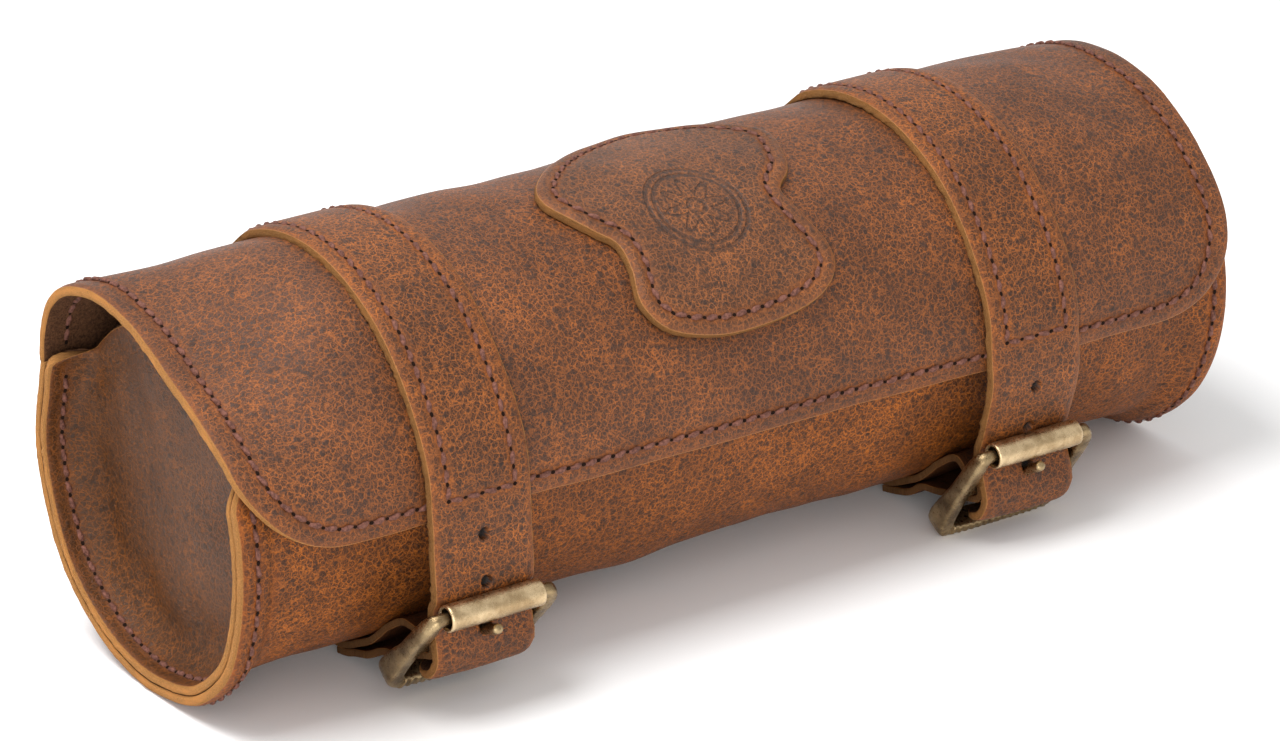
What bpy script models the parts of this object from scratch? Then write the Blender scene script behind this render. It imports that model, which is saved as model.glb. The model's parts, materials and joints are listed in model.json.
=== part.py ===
"""Cylindrical leather cue and tool roll case with a hinged lid, two straps and roller buckles.

Metres, +Z up. X runs along the case, -Y is the front where the lid closes, and the origin is on
the ground below the middle. Angles in the cross-section are measured at the case's axis, from the
front (-Y) upwards: 0 is the front, 90 the top, 180 the back and -90 the bottom.
"""

import bmesh
import bpy
from math import cos, degrees, hypot, radians, sin
from mathutils import Vector

# Case axis above the ground, and its offset that centres the whole object on Y
AXIS_Y = 0.0069
AXIS_Z = 0.0500

# Case body
HALF_LENGTH = 0.150
WALL = 0.0028
BODY_RADIUS = 0.0466
RIM_RADIUS = 0.0510
RIM_FLAT_LENGTH = 0.003
RIM_FLARE_LENGTH = 0.011
BODY_FRONT_EDGE = 45.0
BODY_BACK_EDGE = 154.8
GAP = 0.0003

# Lid
LID_RADIUS = 0.0543
LID_THICKNESS = 0.0028
LID_CORNER = 0.024
LID_BACK_EDGE = 154.2

# End gussets
GUSSET_RECESS = 0.0105
GUSSET_THICKNESS = 0.0025
GUSSET_FREE_RADIUS = 0.0415

# Straps
STRAP_WIDTH = 0.028
STRAP_THICKNESS = 0.0025
STRAP_RADIUS = 0.0578
STRAP_BACK_ANGLE = 118.0
STRAP_STITCH_END = 6.3
STRAP_DROP = 0.0007
STRAP_TIP_CORNER = 0.009
STRAP_HOLE_RADIUS = 0.00165
STRAP_LEFT_X = -0.0890
STRAP_RIGHT_X = 0.0795

# Emblem patch on the lid
PATCH_X = -0.004
PATCH_ANGLE = 66.0
PATCH_THICKNESS = 0.0026

# Buckles: middle of the frame (y, z) from the case axis, and the frame's tilt below the horizontal
BUCKLE_LEFT = (-0.0516, -0.03185, 49.0)
BUCKLE_RIGHT = (-0.04945, -0.0352, 57.2)
FRAME_REACH = 0.01465
FRAME_HALF_WIDTH = 0.0171
CENTRE_BAR_RADIUS = 0.0014
ROLLER_RADIUS = 0.0034
ROLLER_BORE = 0.0026
ROLLER_LENGTH = 0.0270
PRONG_RADIUS = 0.0012
PRONG_WIDTH = 0.0040
PRONG_REACH = (-0.0136, 0.0050)

# Billets that hold the buckles
BILLET_WIDTH = 0.0265
BILLET_THICKNESS = 0.0020

THREAD_RADIUS = 0.0003
THREAD_LIFT = 0.00045

LEATHER = (0.36, 0.13, 0.045)
DARK_LEATHER = (0.20, 0.085, 0.035)
THREAD_BROWN = (0.20, 0.07, 0.05)
BRASS = (0.48, 0.38, 0.22)


def clear_scene():
    for obj in list(bpy.data.objects):
        bpy.data.objects.remove(obj, do_unlink=True)


def smooth_step(value):
    value = min(max(value, 0.0), 1.0)
    return value * value * (3.0 - 2.0 * value)


def polar(x, radius, angle):
    """Point at an angle in the cross-section, in the part's frame."""
    turn = radians(angle)
    return Vector((x, AXIS_Y - radius * cos(turn), AXIS_Z + radius * sin(turn)))


def section(x, point):
    """Point given as (y, z) from the case axis."""
    return Vector((x, AXIS_Y + point[0], AXIS_Z + point[1]))


def steps(start, end, count):
    return [start + (end - start) * k / count for k in range(count + 1)]


def material(name, colour, roughness, metallic=0.0):
    made = bpy.data.materials.get(name)
    if made:
        return made
    made = bpy.data.materials.new(name)
    made.use_nodes = True
    shader = made.node_tree.nodes["Principled BSDF"]
    shader.inputs["Base Color"].default_value = (*colour, 1.0)
    shader.inputs["Roughness"].default_value = roughness
    shader.inputs["Metallic"].default_value = metallic
    return made


def finish_object(name, bm, look):
    """Turns a bmesh into a named object with its normals facing out."""
    bmesh.ops.remove_doubles(bm, verts=bm.verts, dist=1e-7)
    bmesh.ops.recalc_face_normals(bm, faces=bm.faces)
    mesh = bpy.data.meshes.new(name)
    bm.to_mesh(mesh)
    bm.free()
    mesh.shade_smooth()
    mesh.set_sharp_from_angle(angle=radians(35))
    obj = bpy.data.objects.new(name, mesh)
    obj.data.materials.append(look)
    bpy.context.scene.collection.objects.link(obj)
    return obj


def grid_faces(bm, rows, closed=False):
    """Quads between neighbouring rows of vertices."""
    count = len(rows)
    for i in range(count if closed else count - 1):
        first = rows[i]
        second = rows[(i + 1) % count]
        for j in range(len(first) - 1):
            corners = [first[j], first[j + 1], second[j + 1], second[j]]
            bm.faces.new(list(dict.fromkeys(corners)))


def leather_slab(name, outer, inner, look):
    """Closed solid between two equal grids of points."""
    bm = bmesh.new()
    top = [[bm.verts.new(p) for p in row] for row in outer]
    low = [[bm.verts.new(p) for p in row] for row in inner]
    grid_faces(bm, top)
    grid_faces(bm, low)
    for edge_top, edge_low in ((top[0], low[0]), (top[-1], low[-1])):
        grid_faces(bm, [edge_top, edge_low])
    for j in (0, -1):
        grid_faces(bm, [[row[j] for row in top], [row[j] for row in low]])
    return finish_object(name, bm, look)


def tube(name, path, radius, look, sides=5, closed=False):
    """Round bar along a path. radius is one number, or one (normal, side) pair for each point."""
    bm = bmesh.new()
    count = len(path)
    rings = []
    for i, point in enumerate(path):
        ahead = path[(i + 1) % count] if closed or i + 1 < count else point
        behind = path[i - 1] if closed or i > 0 else point
        along = (ahead - behind).normalized()
        lead = Vector((0.0, -0.78, -0.62)) if abs(along.x) > 0.6 else Vector((1.0, 0.0, 0.0))
        side = along.cross(lead).normalized()
        normal = side.cross(along).normalized()
        size = radius if isinstance(radius, float) else radius[i]
        ring = []
        for k in range(sides):
            turn = radians(360.0 * k / sides)
            ring.append(bm.verts.new(point + size * (cos(turn) * normal + sin(turn) * side)))
        rings.append(ring)
    pairs = [(rings[i], rings[(i + 1) % count]) for i in range(count if closed else count - 1)]
    for first, second in pairs:
        shift = min(range(sides), key=lambda s: (second[s].co - first[0].co).length)
        for k in range(sides):
            near = (k + 1) % sides
            a = second[(k + shift) % sides]
            b = second[(near + shift) % sides]
            bm.faces.new([first[k], first[near], b, a])
    if not closed:
        bm.faces.new(rings[0])
        bm.faces.new(rings[-1])
    return finish_object(name, bm, look)


def smoothed(points, rounds=2):
    """Corner-cutting of a polyline that keeps its two ends."""
    for _ in range(rounds):
        cut = [points[0]]
        for a, b in zip(points, points[1:]):
            cut.append((a[0] * 0.75 + b[0] * 0.25, a[1] * 0.75 + b[1] * 0.25))
            cut.append((a[0] * 0.25 + b[0] * 0.75, a[1] * 0.25 + b[1] * 0.75))
        cut.append(points[-1])
        points = cut
    return points


def offset_path(points, distance):
    """Polyline moved to the right of its direction of travel, in the (y, z) plane."""
    moved = []
    for i, (y, z) in enumerate(points):
        ahead = points[min(i + 1, len(points) - 1)]
        behind = points[max(i - 1, 0)]
        dy, dz = ahead[0] - behind[0], ahead[1] - behind[1]
        length = hypot(dy, dz)
        moved.append((y + distance * dz / length, z - distance * dy / length))
    return moved


def rim_radius(angle):
    """The rims stand out less under the lid, where the ends curl in."""
    return RIM_RADIUS - 0.0032 * smooth_step((angle + 45.0) / 60.0) * (angle < 90.0)


def body_radius(x, angle):
    """Outer radius of the case wall: flared at both ends and towards the lid's hinge."""
    into_rim = (abs(x) - HALF_LENGTH + RIM_FLAT_LENGTH + RIM_FLARE_LENGTH) / RIM_FLARE_LENGTH
    rim = (rim_radius(angle) - BODY_RADIUS) * smooth_step(into_rim)
    return BODY_RADIUS + rim


def hinge_flare(back_angle):
    """How far the wall near the back edge stands out to meet the lid, 0 to 1."""
    return smooth_step(1.0 - (back_angle - BODY_BACK_EDGE) / 22.0)


def wall_point(x, turn, inset=0.0):
    """Point on the case wall. turn runs from the back edge down, under and up to the front edge."""
    angle = turn if turn <= 180.0 else turn - 360.0
    radius = body_radius(x, angle)
    if turn > 90.0 and turn < 200.0:
        radius += (RIM_RADIUS - radius) * hinge_flare(turn)
    point = polar(x, radius - inset, angle)
    point.z = max(point.z, inset)
    return point


def make_case_wrap(look):
    ends = [HALF_LENGTH - d for d in (0.0, RIM_FLAT_LENGTH, 0.0058, 0.0086, 0.0114, 0.014)]
    columns = [-x for x in ends] + [-0.1, -0.05, 0.0, 0.05, 0.1] + ends[::-1]
    turns = steps(BODY_BACK_EDGE, 360.0 + BODY_FRONT_EDGE, 44)
    outer = [[wall_point(x, turn) for x in columns] for turn in turns]
    inner = [[wall_point(x, turn, WALL) for x in columns] for turn in turns]
    leather_slab("case_wrap", outer, inner, look)


def lid_radius(angle):
    """The lid starts on the body's rim at the hinge and rises over the first few degrees."""
    return RIM_RADIUS + (LID_RADIUS - RIM_RADIUS) * smooth_step((LID_BACK_EDGE - angle) / 12.0)


def lid_half_width(angle):
    """Half the lid's width: rounded at the two front corners."""
    reach = LID_RADIUS * radians(angle)
    if reach >= LID_CORNER:
        return HALF_LENGTH
    return HALF_LENGTH - LID_CORNER + (LID_CORNER**2 - (LID_CORNER - reach) ** 2) ** 0.5


def lid_angles():
    corner = degrees(LID_CORNER / LID_RADIUS)
    front = [corner * (1.0 - cos(radians(t))) for t in steps(0.0, 90.0, 8)]
    return front + steps(corner, LID_BACK_EDGE, 26)[1:]


def make_lid(look):
    shares = (-1.0, -0.99, -0.94, -0.6, -0.2, 0.2, 0.6, 0.94, 0.99, 1.0)
    outer = []
    inner = []
    for angle in lid_angles():
        half = lid_half_width(angle)
        radius = lid_radius(angle)
        outer.append([polar(s * half, radius, angle) for s in shares])
        inner.append([polar(s * half, radius - LID_THICKNESS, angle) for s in shares])
    leather_slab("lid_flap", outer, inner, look)


def gusset_profile(angle):
    """(outer, inner) profiles of a gusset at one angle, as (x, radius) from the rim to the centre."""
    end = HALF_LENGTH
    flange = []
    for depth in (0.0002, RIM_FLAT_LENGTH, 0.0058, 0.0078):
        wall = body_radius(end - depth, angle) if angle < 100.0 else None
        if wall is None:
            blend = hinge_flare(angle)
            base = body_radius(end - depth, angle)
            wall = base + (RIM_RADIUS - base) * blend
        flange.append((end - depth, wall - WALL - GAP))
    face = end - GUSSET_RECESS
    free = GUSSET_FREE_RADIUS
    flat = [(face + 0.0004, free), (face + 0.0004, free - 0.001), (face + 0.0003, free - 0.002)]
    flat.append((face + 0.0001, free - 0.003))
    below = smooth_step((54.0 - angle) / 12.0) if angle < 100.0 else 0.0
    back = smooth_step((angle - 143.0) / 9.0) if angle >= 100.0 else 0.0
    weight = max(below, back)
    outer = []
    for (fx, fr), (gx, gr) in zip(flange, flat):
        outer.append((gx + (fx - gx) * weight, gr + (fr - GUSSET_THICKNESS - gr) * weight))
    inner = []
    for (fx, fr), (gx, gr) in zip(flange, flat):
        behind = gx - GUSSET_THICKNESS
        inner.append((behind + (fx - behind) * weight, gr + (fr - gr) * weight))
    outer.append((face + 0.0001 * weight, 0.0385))
    inner.append((face - GUSSET_THICKNESS * (1.0 - 0.35 * weight), 0.0398))
    outer += [(face - 0.0003, 0.0335), (face + 0.0006, 0.022), (face + 0.0012, 0.010)]
    inner += [(face - 0.0003 - GUSSET_THICKNESS, 0.0345), (face + 0.0006 - GUSSET_THICKNESS, 0.022)]
    inner.append((face + 0.0012 - GUSSET_THICKNESS, 0.010))
    return outer, inner


def make_gusset(name, side, look):
    """Dished leather end with an outward flange sewn inside the wall and a free edge at the top."""
    bm = bmesh.new()
    outer_rows = []
    inner_rows = []
    for turn in steps(-206.0, 154.0, 60)[1:]:
        angle = turn if turn > -180.0 else turn + 360.0
        outer, inner = gusset_profile(angle)
        outer_rows.append([bm.verts.new(gusset_point(side, x, r, angle)) for x, r in outer])
        inner_rows.append([bm.verts.new(gusset_point(side, x, r, angle)) for x, r in inner])
    face = HALF_LENGTH - GUSSET_RECESS
    outer_pole = bm.verts.new(polar(side * (face + 0.0014), 0.0, 0.0))
    inner_pole = bm.verts.new(polar(side * (face + 0.0014 - GUSSET_THICKNESS), 0.0, 0.0))
    for rows, pole in ((outer_rows, outer_pole), (inner_rows, inner_pole)):
        grid_faces(bm, rows, closed=True)
        for i, row in enumerate(rows):
            bm.faces.new([row[-1], rows[(i + 1) % len(rows)][-1], pole])
    edge = [[a[0], b[0]] for a, b in zip(outer_rows, inner_rows)]
    grid_faces(bm, edge, closed=True)
    finish_object(name, bm, look)


def gusset_point(side, x, radius, angle):
    point = polar(side * x, radius, angle)
    point.z = max(point.z, WALL + GAP + (RIM_RADIUS - WALL - GAP - radius) * 0.8)
    return point


def patch_half_width(arc):
    """Half the patch's width at an arc above its middle: wide top lobe, waist, round bottom lobe."""
    shape = [(-0.0378, 0.004), (-0.0366, 0.0135), (-0.0325, 0.0232), (-0.0265, 0.0283)]
    shape += [(-0.0205, 0.0285), (-0.0125, 0.0265), (-0.0065, 0.0262), (-0.0015, 0.0292)]
    shape += [(0.0045, 0.0340), (0.0120, 0.0364), (0.0190, 0.0352), (0.0280, 0.0285)]
    shape += [(0.0360, 0.0165), (0.0392, 0.0070), (0.0400, 0.003)]
    shape = smoothed(shape, 1)
    for (low, w0), (high, w1) in zip(shape, shape[1:]):
        if arc <= high:
            return w0 + (w1 - w0) * (arc - low) / (high - low)
    return shape[-1][1]


def patch_point(x, arc, radius):
    return polar(PATCH_X + x, radius, PATCH_ANGLE + degrees(arc / LID_RADIUS))


def patch_arcs(low=-0.0378, high=0.0400):
    """Heights of the patch's rows, closer together towards both ends."""
    middle = (low + high) / 2.0
    return [middle - (high - low) / 2.0 * cos(radians(t)) for t in steps(0.0, 180.0, 36)]


def make_patch(look):
    low = LID_RADIUS + GAP
    outer = []
    inner = []
    for arc in patch_arcs():
        half = patch_half_width(arc)
        shares = (-1.0, -0.97, -0.3, 0.3, 0.97, 1.0)
        heights = (-0.0004, 0.0, 0.0, 0.0, 0.0, -0.0004)
        row = zip(shares, heights)
        outer.append([patch_point(s * half, arc, low + PATCH_THICKNESS + h) for s, h in row])
        inner.append([patch_point(s * half, arc, low) for s in shares])
    leather_slab("patch", outer, inner, look)


def patch_thread_path():
    """Closed stitch line a little inside the patch's edge."""
    radius = LID_RADIUS + GAP + PATCH_THICKNESS + THREAD_LIFT
    arcs = patch_arcs(-0.0338, 0.0350)[1:-1:2]
    right = [(patch_half_width(arc) - 0.0040, arc) for arc in arcs]
    return [patch_point(x, arc, radius) for x, arc in right + [(-x, arc) for x, arc in right[::-1]]]


def buckle_axes(buckle):
    """(middle, along, outward) of a buckle frame, as (y, z) pairs. along runs roller to heel."""
    y, z, tilt = buckle
    along = (cos(radians(tilt)), -sin(radians(tilt)))
    outward = (-sin(radians(tilt)), -cos(radians(tilt)))
    return (y, z), along, outward


def on_buckle(buckle, a, b):
    """(y, z) of a point a along and b outward of the buckle's middle."""
    middle, along, outward = buckle_axes(buckle)
    return (
        middle[0] + a * along[0] + b * outward[0],
        middle[1] + a * along[1] + b * outward[1],
    )


def strap_radius(angle):
    """The strap lies closer to the lid behind its front edge, where it is sewn down."""
    return STRAP_RADIUS - STRAP_DROP * smooth_step((angle - 8.0) / 35.0)


def strap_path(buckle):
    """Outer face of a strap as (y, z), from the back of the lid to its tip in the buckle."""
    over = []
    for angle in steps(STRAP_BACK_ANGLE, 0.0, 24):
        turn = radians(angle)
        radius = strap_radius(angle)
        over.append((-radius * cos(turn), radius * sin(turn)))
    tail = [over[-1], (-STRAP_RADIUS + 0.0002, -0.006)]
    local = [(-0.0155, -0.0043), (-0.0115, -0.0034), (-0.0072, 0.0018), (-0.0036, 0.0062)]
    local += [(0.0, 0.0073), (0.0036, 0.0072), (0.0078, 0.0054), (0.0110, 0.0030), (0.0128, 0.0014)]
    tail += [on_buckle(buckle, a, b) for a, b in local]
    return over[:-1] + smoothed(tail, 2)


def strap_lengths(path):
    """Length left to the tip at each point of the path."""
    left = [0.0]
    for a, b in zip(path[::-1], path[::-1][1:]):
        left.append(left[-1] + hypot(a[0] - b[0], a[1] - b[1]))
    return left[::-1]


def make_strap(name, centre, buckle, look):
    path = strap_path(buckle)
    under = offset_path(path, -STRAP_THICKNESS)
    outer = []
    inner = []
    corner = STRAP_TIP_CORNER
    for top, low, left in zip(path, under, strap_lengths(path)):
        narrow = corner - (corner**2 - (corner - left) ** 2) ** 0.5 if left < corner else 0.0
        half = STRAP_WIDTH / 2.0 - narrow
        xs = [centre + half * s for s in (-1.0, -0.33, 0.33, 1.0)]
        outer.append([section(x, top) for x in xs])
        inner.append([section(x, low) for x in xs])
    strap = leather_slab(name, outer, inner, look)
    cut_strap_holes(strap, centre, buckle, path)


def cylinder_cutter(name, start, end, radius, sides=14):
    axis = (end - start).normalized()
    side = axis.cross(Vector((1.0, 0.0, 0.0))).normalized()
    other = axis.cross(side)
    bm = bmesh.new()
    rings = []
    for centre in (start, end):
        turns = [radians(360.0 * k / sides) for k in range(sides)]
        rings.append([bm.verts.new(centre + radius * (cos(t) * side + sin(t) * other)) for t in turns])
    for k in range(sides):
        near = (k + 1) % sides
        bm.faces.new([rings[0][k], rings[0][near], rings[1][near], rings[1][k]])
    bm.faces.new(rings[0])
    bm.faces.new(rings[1])
    return make_cutter(finish_object(name, bm, material("cutter", (1.0, 0.0, 0.0), 0.5)))


def make_cutter(obj):
    obj.hide_render = True
    obj.display_type = "WIRE"
    return obj


def add_boolean(obj, other, operation="DIFFERENCE"):
    modifier = obj.modifiers.new(other.name, "BOOLEAN")
    modifier.operation = operation
    modifier.solver = "EXACT"
    modifier.object = other


def cut_strap_holes(strap, centre, buckle, path):
    """Two free holes above the roller and the slanted one that the prong stands in."""
    root = on_buckle(buckle, 0.0, 0.0)
    tip = on_buckle(buckle, PRONG_REACH[0] * 1.4, PRONG_REACH[1] * 1.4)
    mid = on_buckle(buckle, PRONG_REACH[0] * 0.2, PRONG_REACH[1] * 0.2)
    cutter = cylinder_cutter(
        strap.name + "_prong_hole", section(centre, mid), section(centre, tip), 0.0019
    )
    add_boolean(strap, cutter)
    hole = hypot(PRONG_REACH[0], PRONG_REACH[1]) * 0.45
    left = strap_lengths(path)
    spans = [hypot(y - root[0], z - root[1]) for y, z in path]
    near = min(range(len(path)), key=lambda i: abs(spans[i] - hole))
    for k in (1, 2):
        goal = left[near] + 0.0125 * k
        i = min(range(len(path)), key=lambda n: abs(left[n] - goal))
        y, z = path[i]
        cutter = cylinder_cutter(
            f"{strap.name}_hole_{k}", section(centre, (y - 0.004, z)), section(centre, (y + 0.006, z)),
            STRAP_HOLE_RADIUS,
        )
        add_boolean(strap, cutter)


def billet_path(buckle):
    """Inner face of a billet's loop as (y, z): up along the case, round the centre bar and back."""
    middle = buckle_axes(buckle)[0]
    near = BODY_RADIUS + GAP + BILLET_THICKNESS
    far = near + GAP
    upper = [(-near * cos(radians(t)), near * sin(radians(t))) for t in steps(-72.0, -44.0, 8)]
    upper.append((-near * 1.02 * cos(radians(-38.0)), near * 1.02 * sin(radians(-38.0))))
    wrap = CENTRE_BAR_RADIUS + 0.0004
    bend = []
    for turn in steps(60.0, 225.0, 9):
        bend.append((middle[0] + wrap * cos(radians(turn)), middle[1] + wrap * sin(radians(turn))))
    lower = [(-far * cos(radians(t)), far * sin(radians(t))) for t in steps(-60.0, -72.0, 4)]
    return smoothed(upper, 1) + bend + smoothed(lower, 1)


def make_billet(name, centre, buckle, look):
    path = billet_path(buckle)
    outside = offset_path(path, BILLET_THICKNESS)
    xs = [centre + BILLET_WIDTH * s for s in (-0.5, -0.12, 0.12, 0.5)]
    inner = [[section(x, p) for x in xs] for p in path]
    outer = [[section(x, p) for x in xs] for p in outside]
    billet = leather_slab(name, outer, inner, look)
    cut_prong_slot(billet, centre, buckle)


def cut_prong_slot(billet, centre, buckle):
    """Slot in the billet's fold that the prong's loop sits in."""
    half_width = PRONG_WIDTH / 2.0 + 0.0010
    corners = [(-0.0062, -0.0045), (0.0048, -0.0045), (0.0048, 0.0060), (-0.0062, 0.0060)]
    bm = bmesh.new()
    rings = []
    for x in (centre - half_width, centre + half_width):
        rings.append([bm.verts.new(section(x, on_buckle(buckle, a, b))) for a, b in corners])
    for k in range(4):
        near = (k + 1) % 4
        bm.faces.new([rings[0][k], rings[0][near], rings[1][near], rings[1][k]])
    bm.faces.new(rings[0])
    bm.faces.new(rings[1])
    name = billet.name + "_slot"
    add_boolean(billet, make_cutter(finish_object(name, bm, material("cutter", (1.0, 0.0, 0.0), 0.5))))


def frame_ring(buckle, centre):
    """Closed centre line of a buckle frame, with the half sizes of its section at each point."""
    reach = FRAME_REACH
    half = FRAME_HALF_WIDTH
    outline = [
        (-half + 0.002, -reach, 0.0017, 0.0017), (0.0, -reach, 0.0017, 0.0017),
        (half - 0.002, -reach, 0.0017, 0.0017), (half - 0.0003, -reach + 0.0012, 0.0019, 0.0019),
        (half, -reach + 0.0045, 0.0021, 0.0021), (half, -0.002, 0.0023, 0.0020),
        (half, reach - 0.005, 0.0027, 0.0018), (half - 0.0006, reach - 0.0016, 0.0027, 0.0015),
        (half - 0.0030, reach, 0.0026, 0.0014), (0.0, reach + 0.0007, 0.0025, 0.0013),
        (-half + 0.0030, reach, 0.0026, 0.0014), (-half + 0.0006, reach - 0.0016, 0.0027, 0.0015),
        (-half, reach - 0.005, 0.0027, 0.0018), (-half, -0.002, 0.0023, 0.0020),
        (-half, -reach + 0.0045, 0.0021, 0.0021), (-half + 0.0003, -reach + 0.0012, 0.0019, 0.0019),
    ]
    return [(centre + x, a, depth, width) for x, a, depth, width in outline]


def make_buckle_frame(name, centre, buckle, look, pivot):
    """Cast frame: front bar, two cheeks and a deep heel bar in one ring, and a centre bar."""
    outward = buckle_axes(buckle)[2]
    normal = Vector((0.0, outward[0], outward[1]))
    ring = frame_ring(buckle, centre)
    count = len(ring)
    sides = 12
    bm = bmesh.new()
    loops = []
    places = [section(x, on_buckle(buckle, a, 0.0)) for x, a, _, _ in ring]
    for i, (_, _, depth, width) in enumerate(ring):
        run = (places[(i + 1) % count] - places[i - 1]).normalized()
        lateral = normal.cross(run).normalized()
        turns = [radians(360.0 * k / sides) for k in range(sides)]
        loops.append(
            [bm.verts.new(places[i] + depth * cos(t) * normal + width * sin(t) * lateral) for t in turns]
        )
    for i in range(count):
        first, second = loops[i], loops[(i + 1) % count]
        for k in range(sides):
            near = (k + 1) % sides
            bm.faces.new([first[k], first[near], second[near], second[k]])
    frame = finish_object(name, bm, look)
    ends = [section(centre + s * FRAME_HALF_WIDTH, on_buckle(buckle, 0.0, 0.0)) for s in (-1, 1)]
    bar = tube(name + "_centre_bar", steps_between(ends[0], ends[1], 2), CENTRE_BAR_RADIUS, look, 12)
    add_boolean(frame, make_cutter(bar), "UNION")
    hang_on(frame, pivot)


def steps_between(start, end, count):
    return [start + (end - start) * k / count for k in range(count + 1)]


def make_roller(name, centre, buckle, look, pivot):
    """Open tube that turns on the frame's front bar."""
    place = on_buckle(buckle, -FRAME_REACH, 0.0)
    bm = bmesh.new()
    sides = 28
    half = ROLLER_LENGTH / 2.0
    profile = [(-half, ROLLER_BORE), (-half, ROLLER_RADIUS), (half, ROLLER_RADIUS), (half, ROLLER_BORE)]
    rows = []
    for k in range(sides):
        turn = radians(360.0 * k / sides)
        row = []
        for x, radius in profile:
            row.append(bm.verts.new(
                section(centre + x, (place[0] + radius * cos(turn), place[1] + radius * sin(turn)))
            ))
        rows.append(row + [row[0]])
    grid_faces(bm, rows, closed=True)
    hang_on(finish_object(name, bm, look), pivot)


def make_prong(name, centre, buckle, look, pivot):
    """Prong with a loop round the centre bar, standing through the strap onto the roller."""
    bm = bmesh.new()
    sides = 16
    half = PRONG_WIDTH / 2.0
    middle = buckle_axes(buckle)[0]
    inner, outer = CENTRE_BAR_RADIUS + 0.0003, CENTRE_BAR_RADIUS + 0.0014
    rows = []
    for k in range(sides):
        turn = radians(360.0 * k / sides)
        row = []
        for x, radius in ((-half, inner), (-half, outer), (half, outer), (half, inner)):
            row.append(bm.verts.new(
                section(centre + x, (middle[0] + radius * cos(turn), middle[1] + radius * sin(turn)))
            ))
        rows.append(row + [row[0]])
    grid_faces(bm, rows, closed=True)
    prong = finish_object(name, bm, look)
    reach = hypot(PRONG_REACH[0], PRONG_REACH[1])
    start = (inner + outer) / 2.0 / reach
    points = [on_buckle(buckle, PRONG_REACH[0] * t, PRONG_REACH[1] * t) for t in (start, 0.5, 0.93, 1.0)]
    path = [section(centre, p) for p in points]
    sizes = [PRONG_RADIUS * 1.1, PRONG_RADIUS, PRONG_RADIUS, PRONG_RADIUS * 0.75]
    shaft = tube(name + "_shaft", path, sizes, look, 10)
    add_boolean(prong, make_cutter(shaft), "UNION")
    hang_on(prong, pivot)


def make_pivot(name, position):
    empty = bpy.data.objects.new(name, None)
    empty.empty_display_size = 0.01
    empty.location = position
    bpy.context.scene.collection.objects.link(empty)
    return empty


def hang_on(obj, pivot):
    """Parents a piece to the empty on its joint's axis, without moving it."""
    obj.parent = pivot
    obj.matrix_parent_inverse = pivot.matrix_basis.inverted()


def lid_thread_path():
    """Stitch line round the lid's two ends and its front edge."""
    inset = 0.0065
    rise = degrees(0.0045 / LID_RADIUS)
    corner = degrees(LID_CORNER / LID_RADIUS)
    side = []
    radius = LID_RADIUS + THREAD_LIFT
    x = HALF_LENGTH - inset
    for angle in steps(141.0, corner + 4.0, 18):
        side.append((x, angle, lid_radius(angle) + THREAD_LIFT))
    bend = LID_CORNER - 0.004
    for turn in steps(0.0, 90.0, 6)[1:]:
        along = x - bend * (1.0 - cos(radians(turn)))
        angle = corner + 4.0 - degrees(bend * sin(radians(turn)) / LID_RADIUS)
        side.append((along, angle, radius))
    last = side[-1]
    front = [(x, last[1], radius) for x in steps(-last[0], last[0], 24)[1:-1]]
    mirrored = [(-x, angle, r) for x, angle, r in side]
    return [polar(x, r, angle) for x, angle, r in mirrored + front + side[::-1]]


def strap_thread_path(centre, buckle):
    """Two rows along the strap's edges and one row across above the lid's front edge."""
    inset = STRAP_WIDTH / 2.0 - 0.0045
    rows = [(strap_radius(t) + THREAD_LIFT, t) for t in steps(STRAP_BACK_ANGLE - 2.0, STRAP_STITCH_END, 24)]
    down = [polar(centre - inset, radius, angle) for radius, angle in rows]
    across = [polar(centre + inset * s, *rows[-1]) for s in (-0.5, 0.0, 0.5)]
    up = [polar(centre + inset, radius, angle) for radius, angle in rows[::-1]]
    return down + across + up


def gusset_thread_path(side):
    """Stitch line round the inside of a gusset's flange."""
    points = []
    for turn in steps(-202.0, 34.0, 44):
        angle = turn if turn > -180.0 else turn + 360.0
        outer, _ = gusset_profile(angle)
        x, radius = outer[2]
        points.append(gusset_point(side, x + 0.0002, radius - THREAD_LIFT - 0.0004, angle))
    return points


def billet_thread_path(centre):
    """Short row across a billet where it is sewn to the case."""
    far = BODY_RADIUS + GAP + BILLET_THICKNESS + GAP + BILLET_THICKNESS + THREAD_LIFT + 0.0001
    return [polar(centre + 0.010 * s, far, -66.0) for s in (-1.0, -0.5, 0.0, 0.5, 1.0)]


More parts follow.
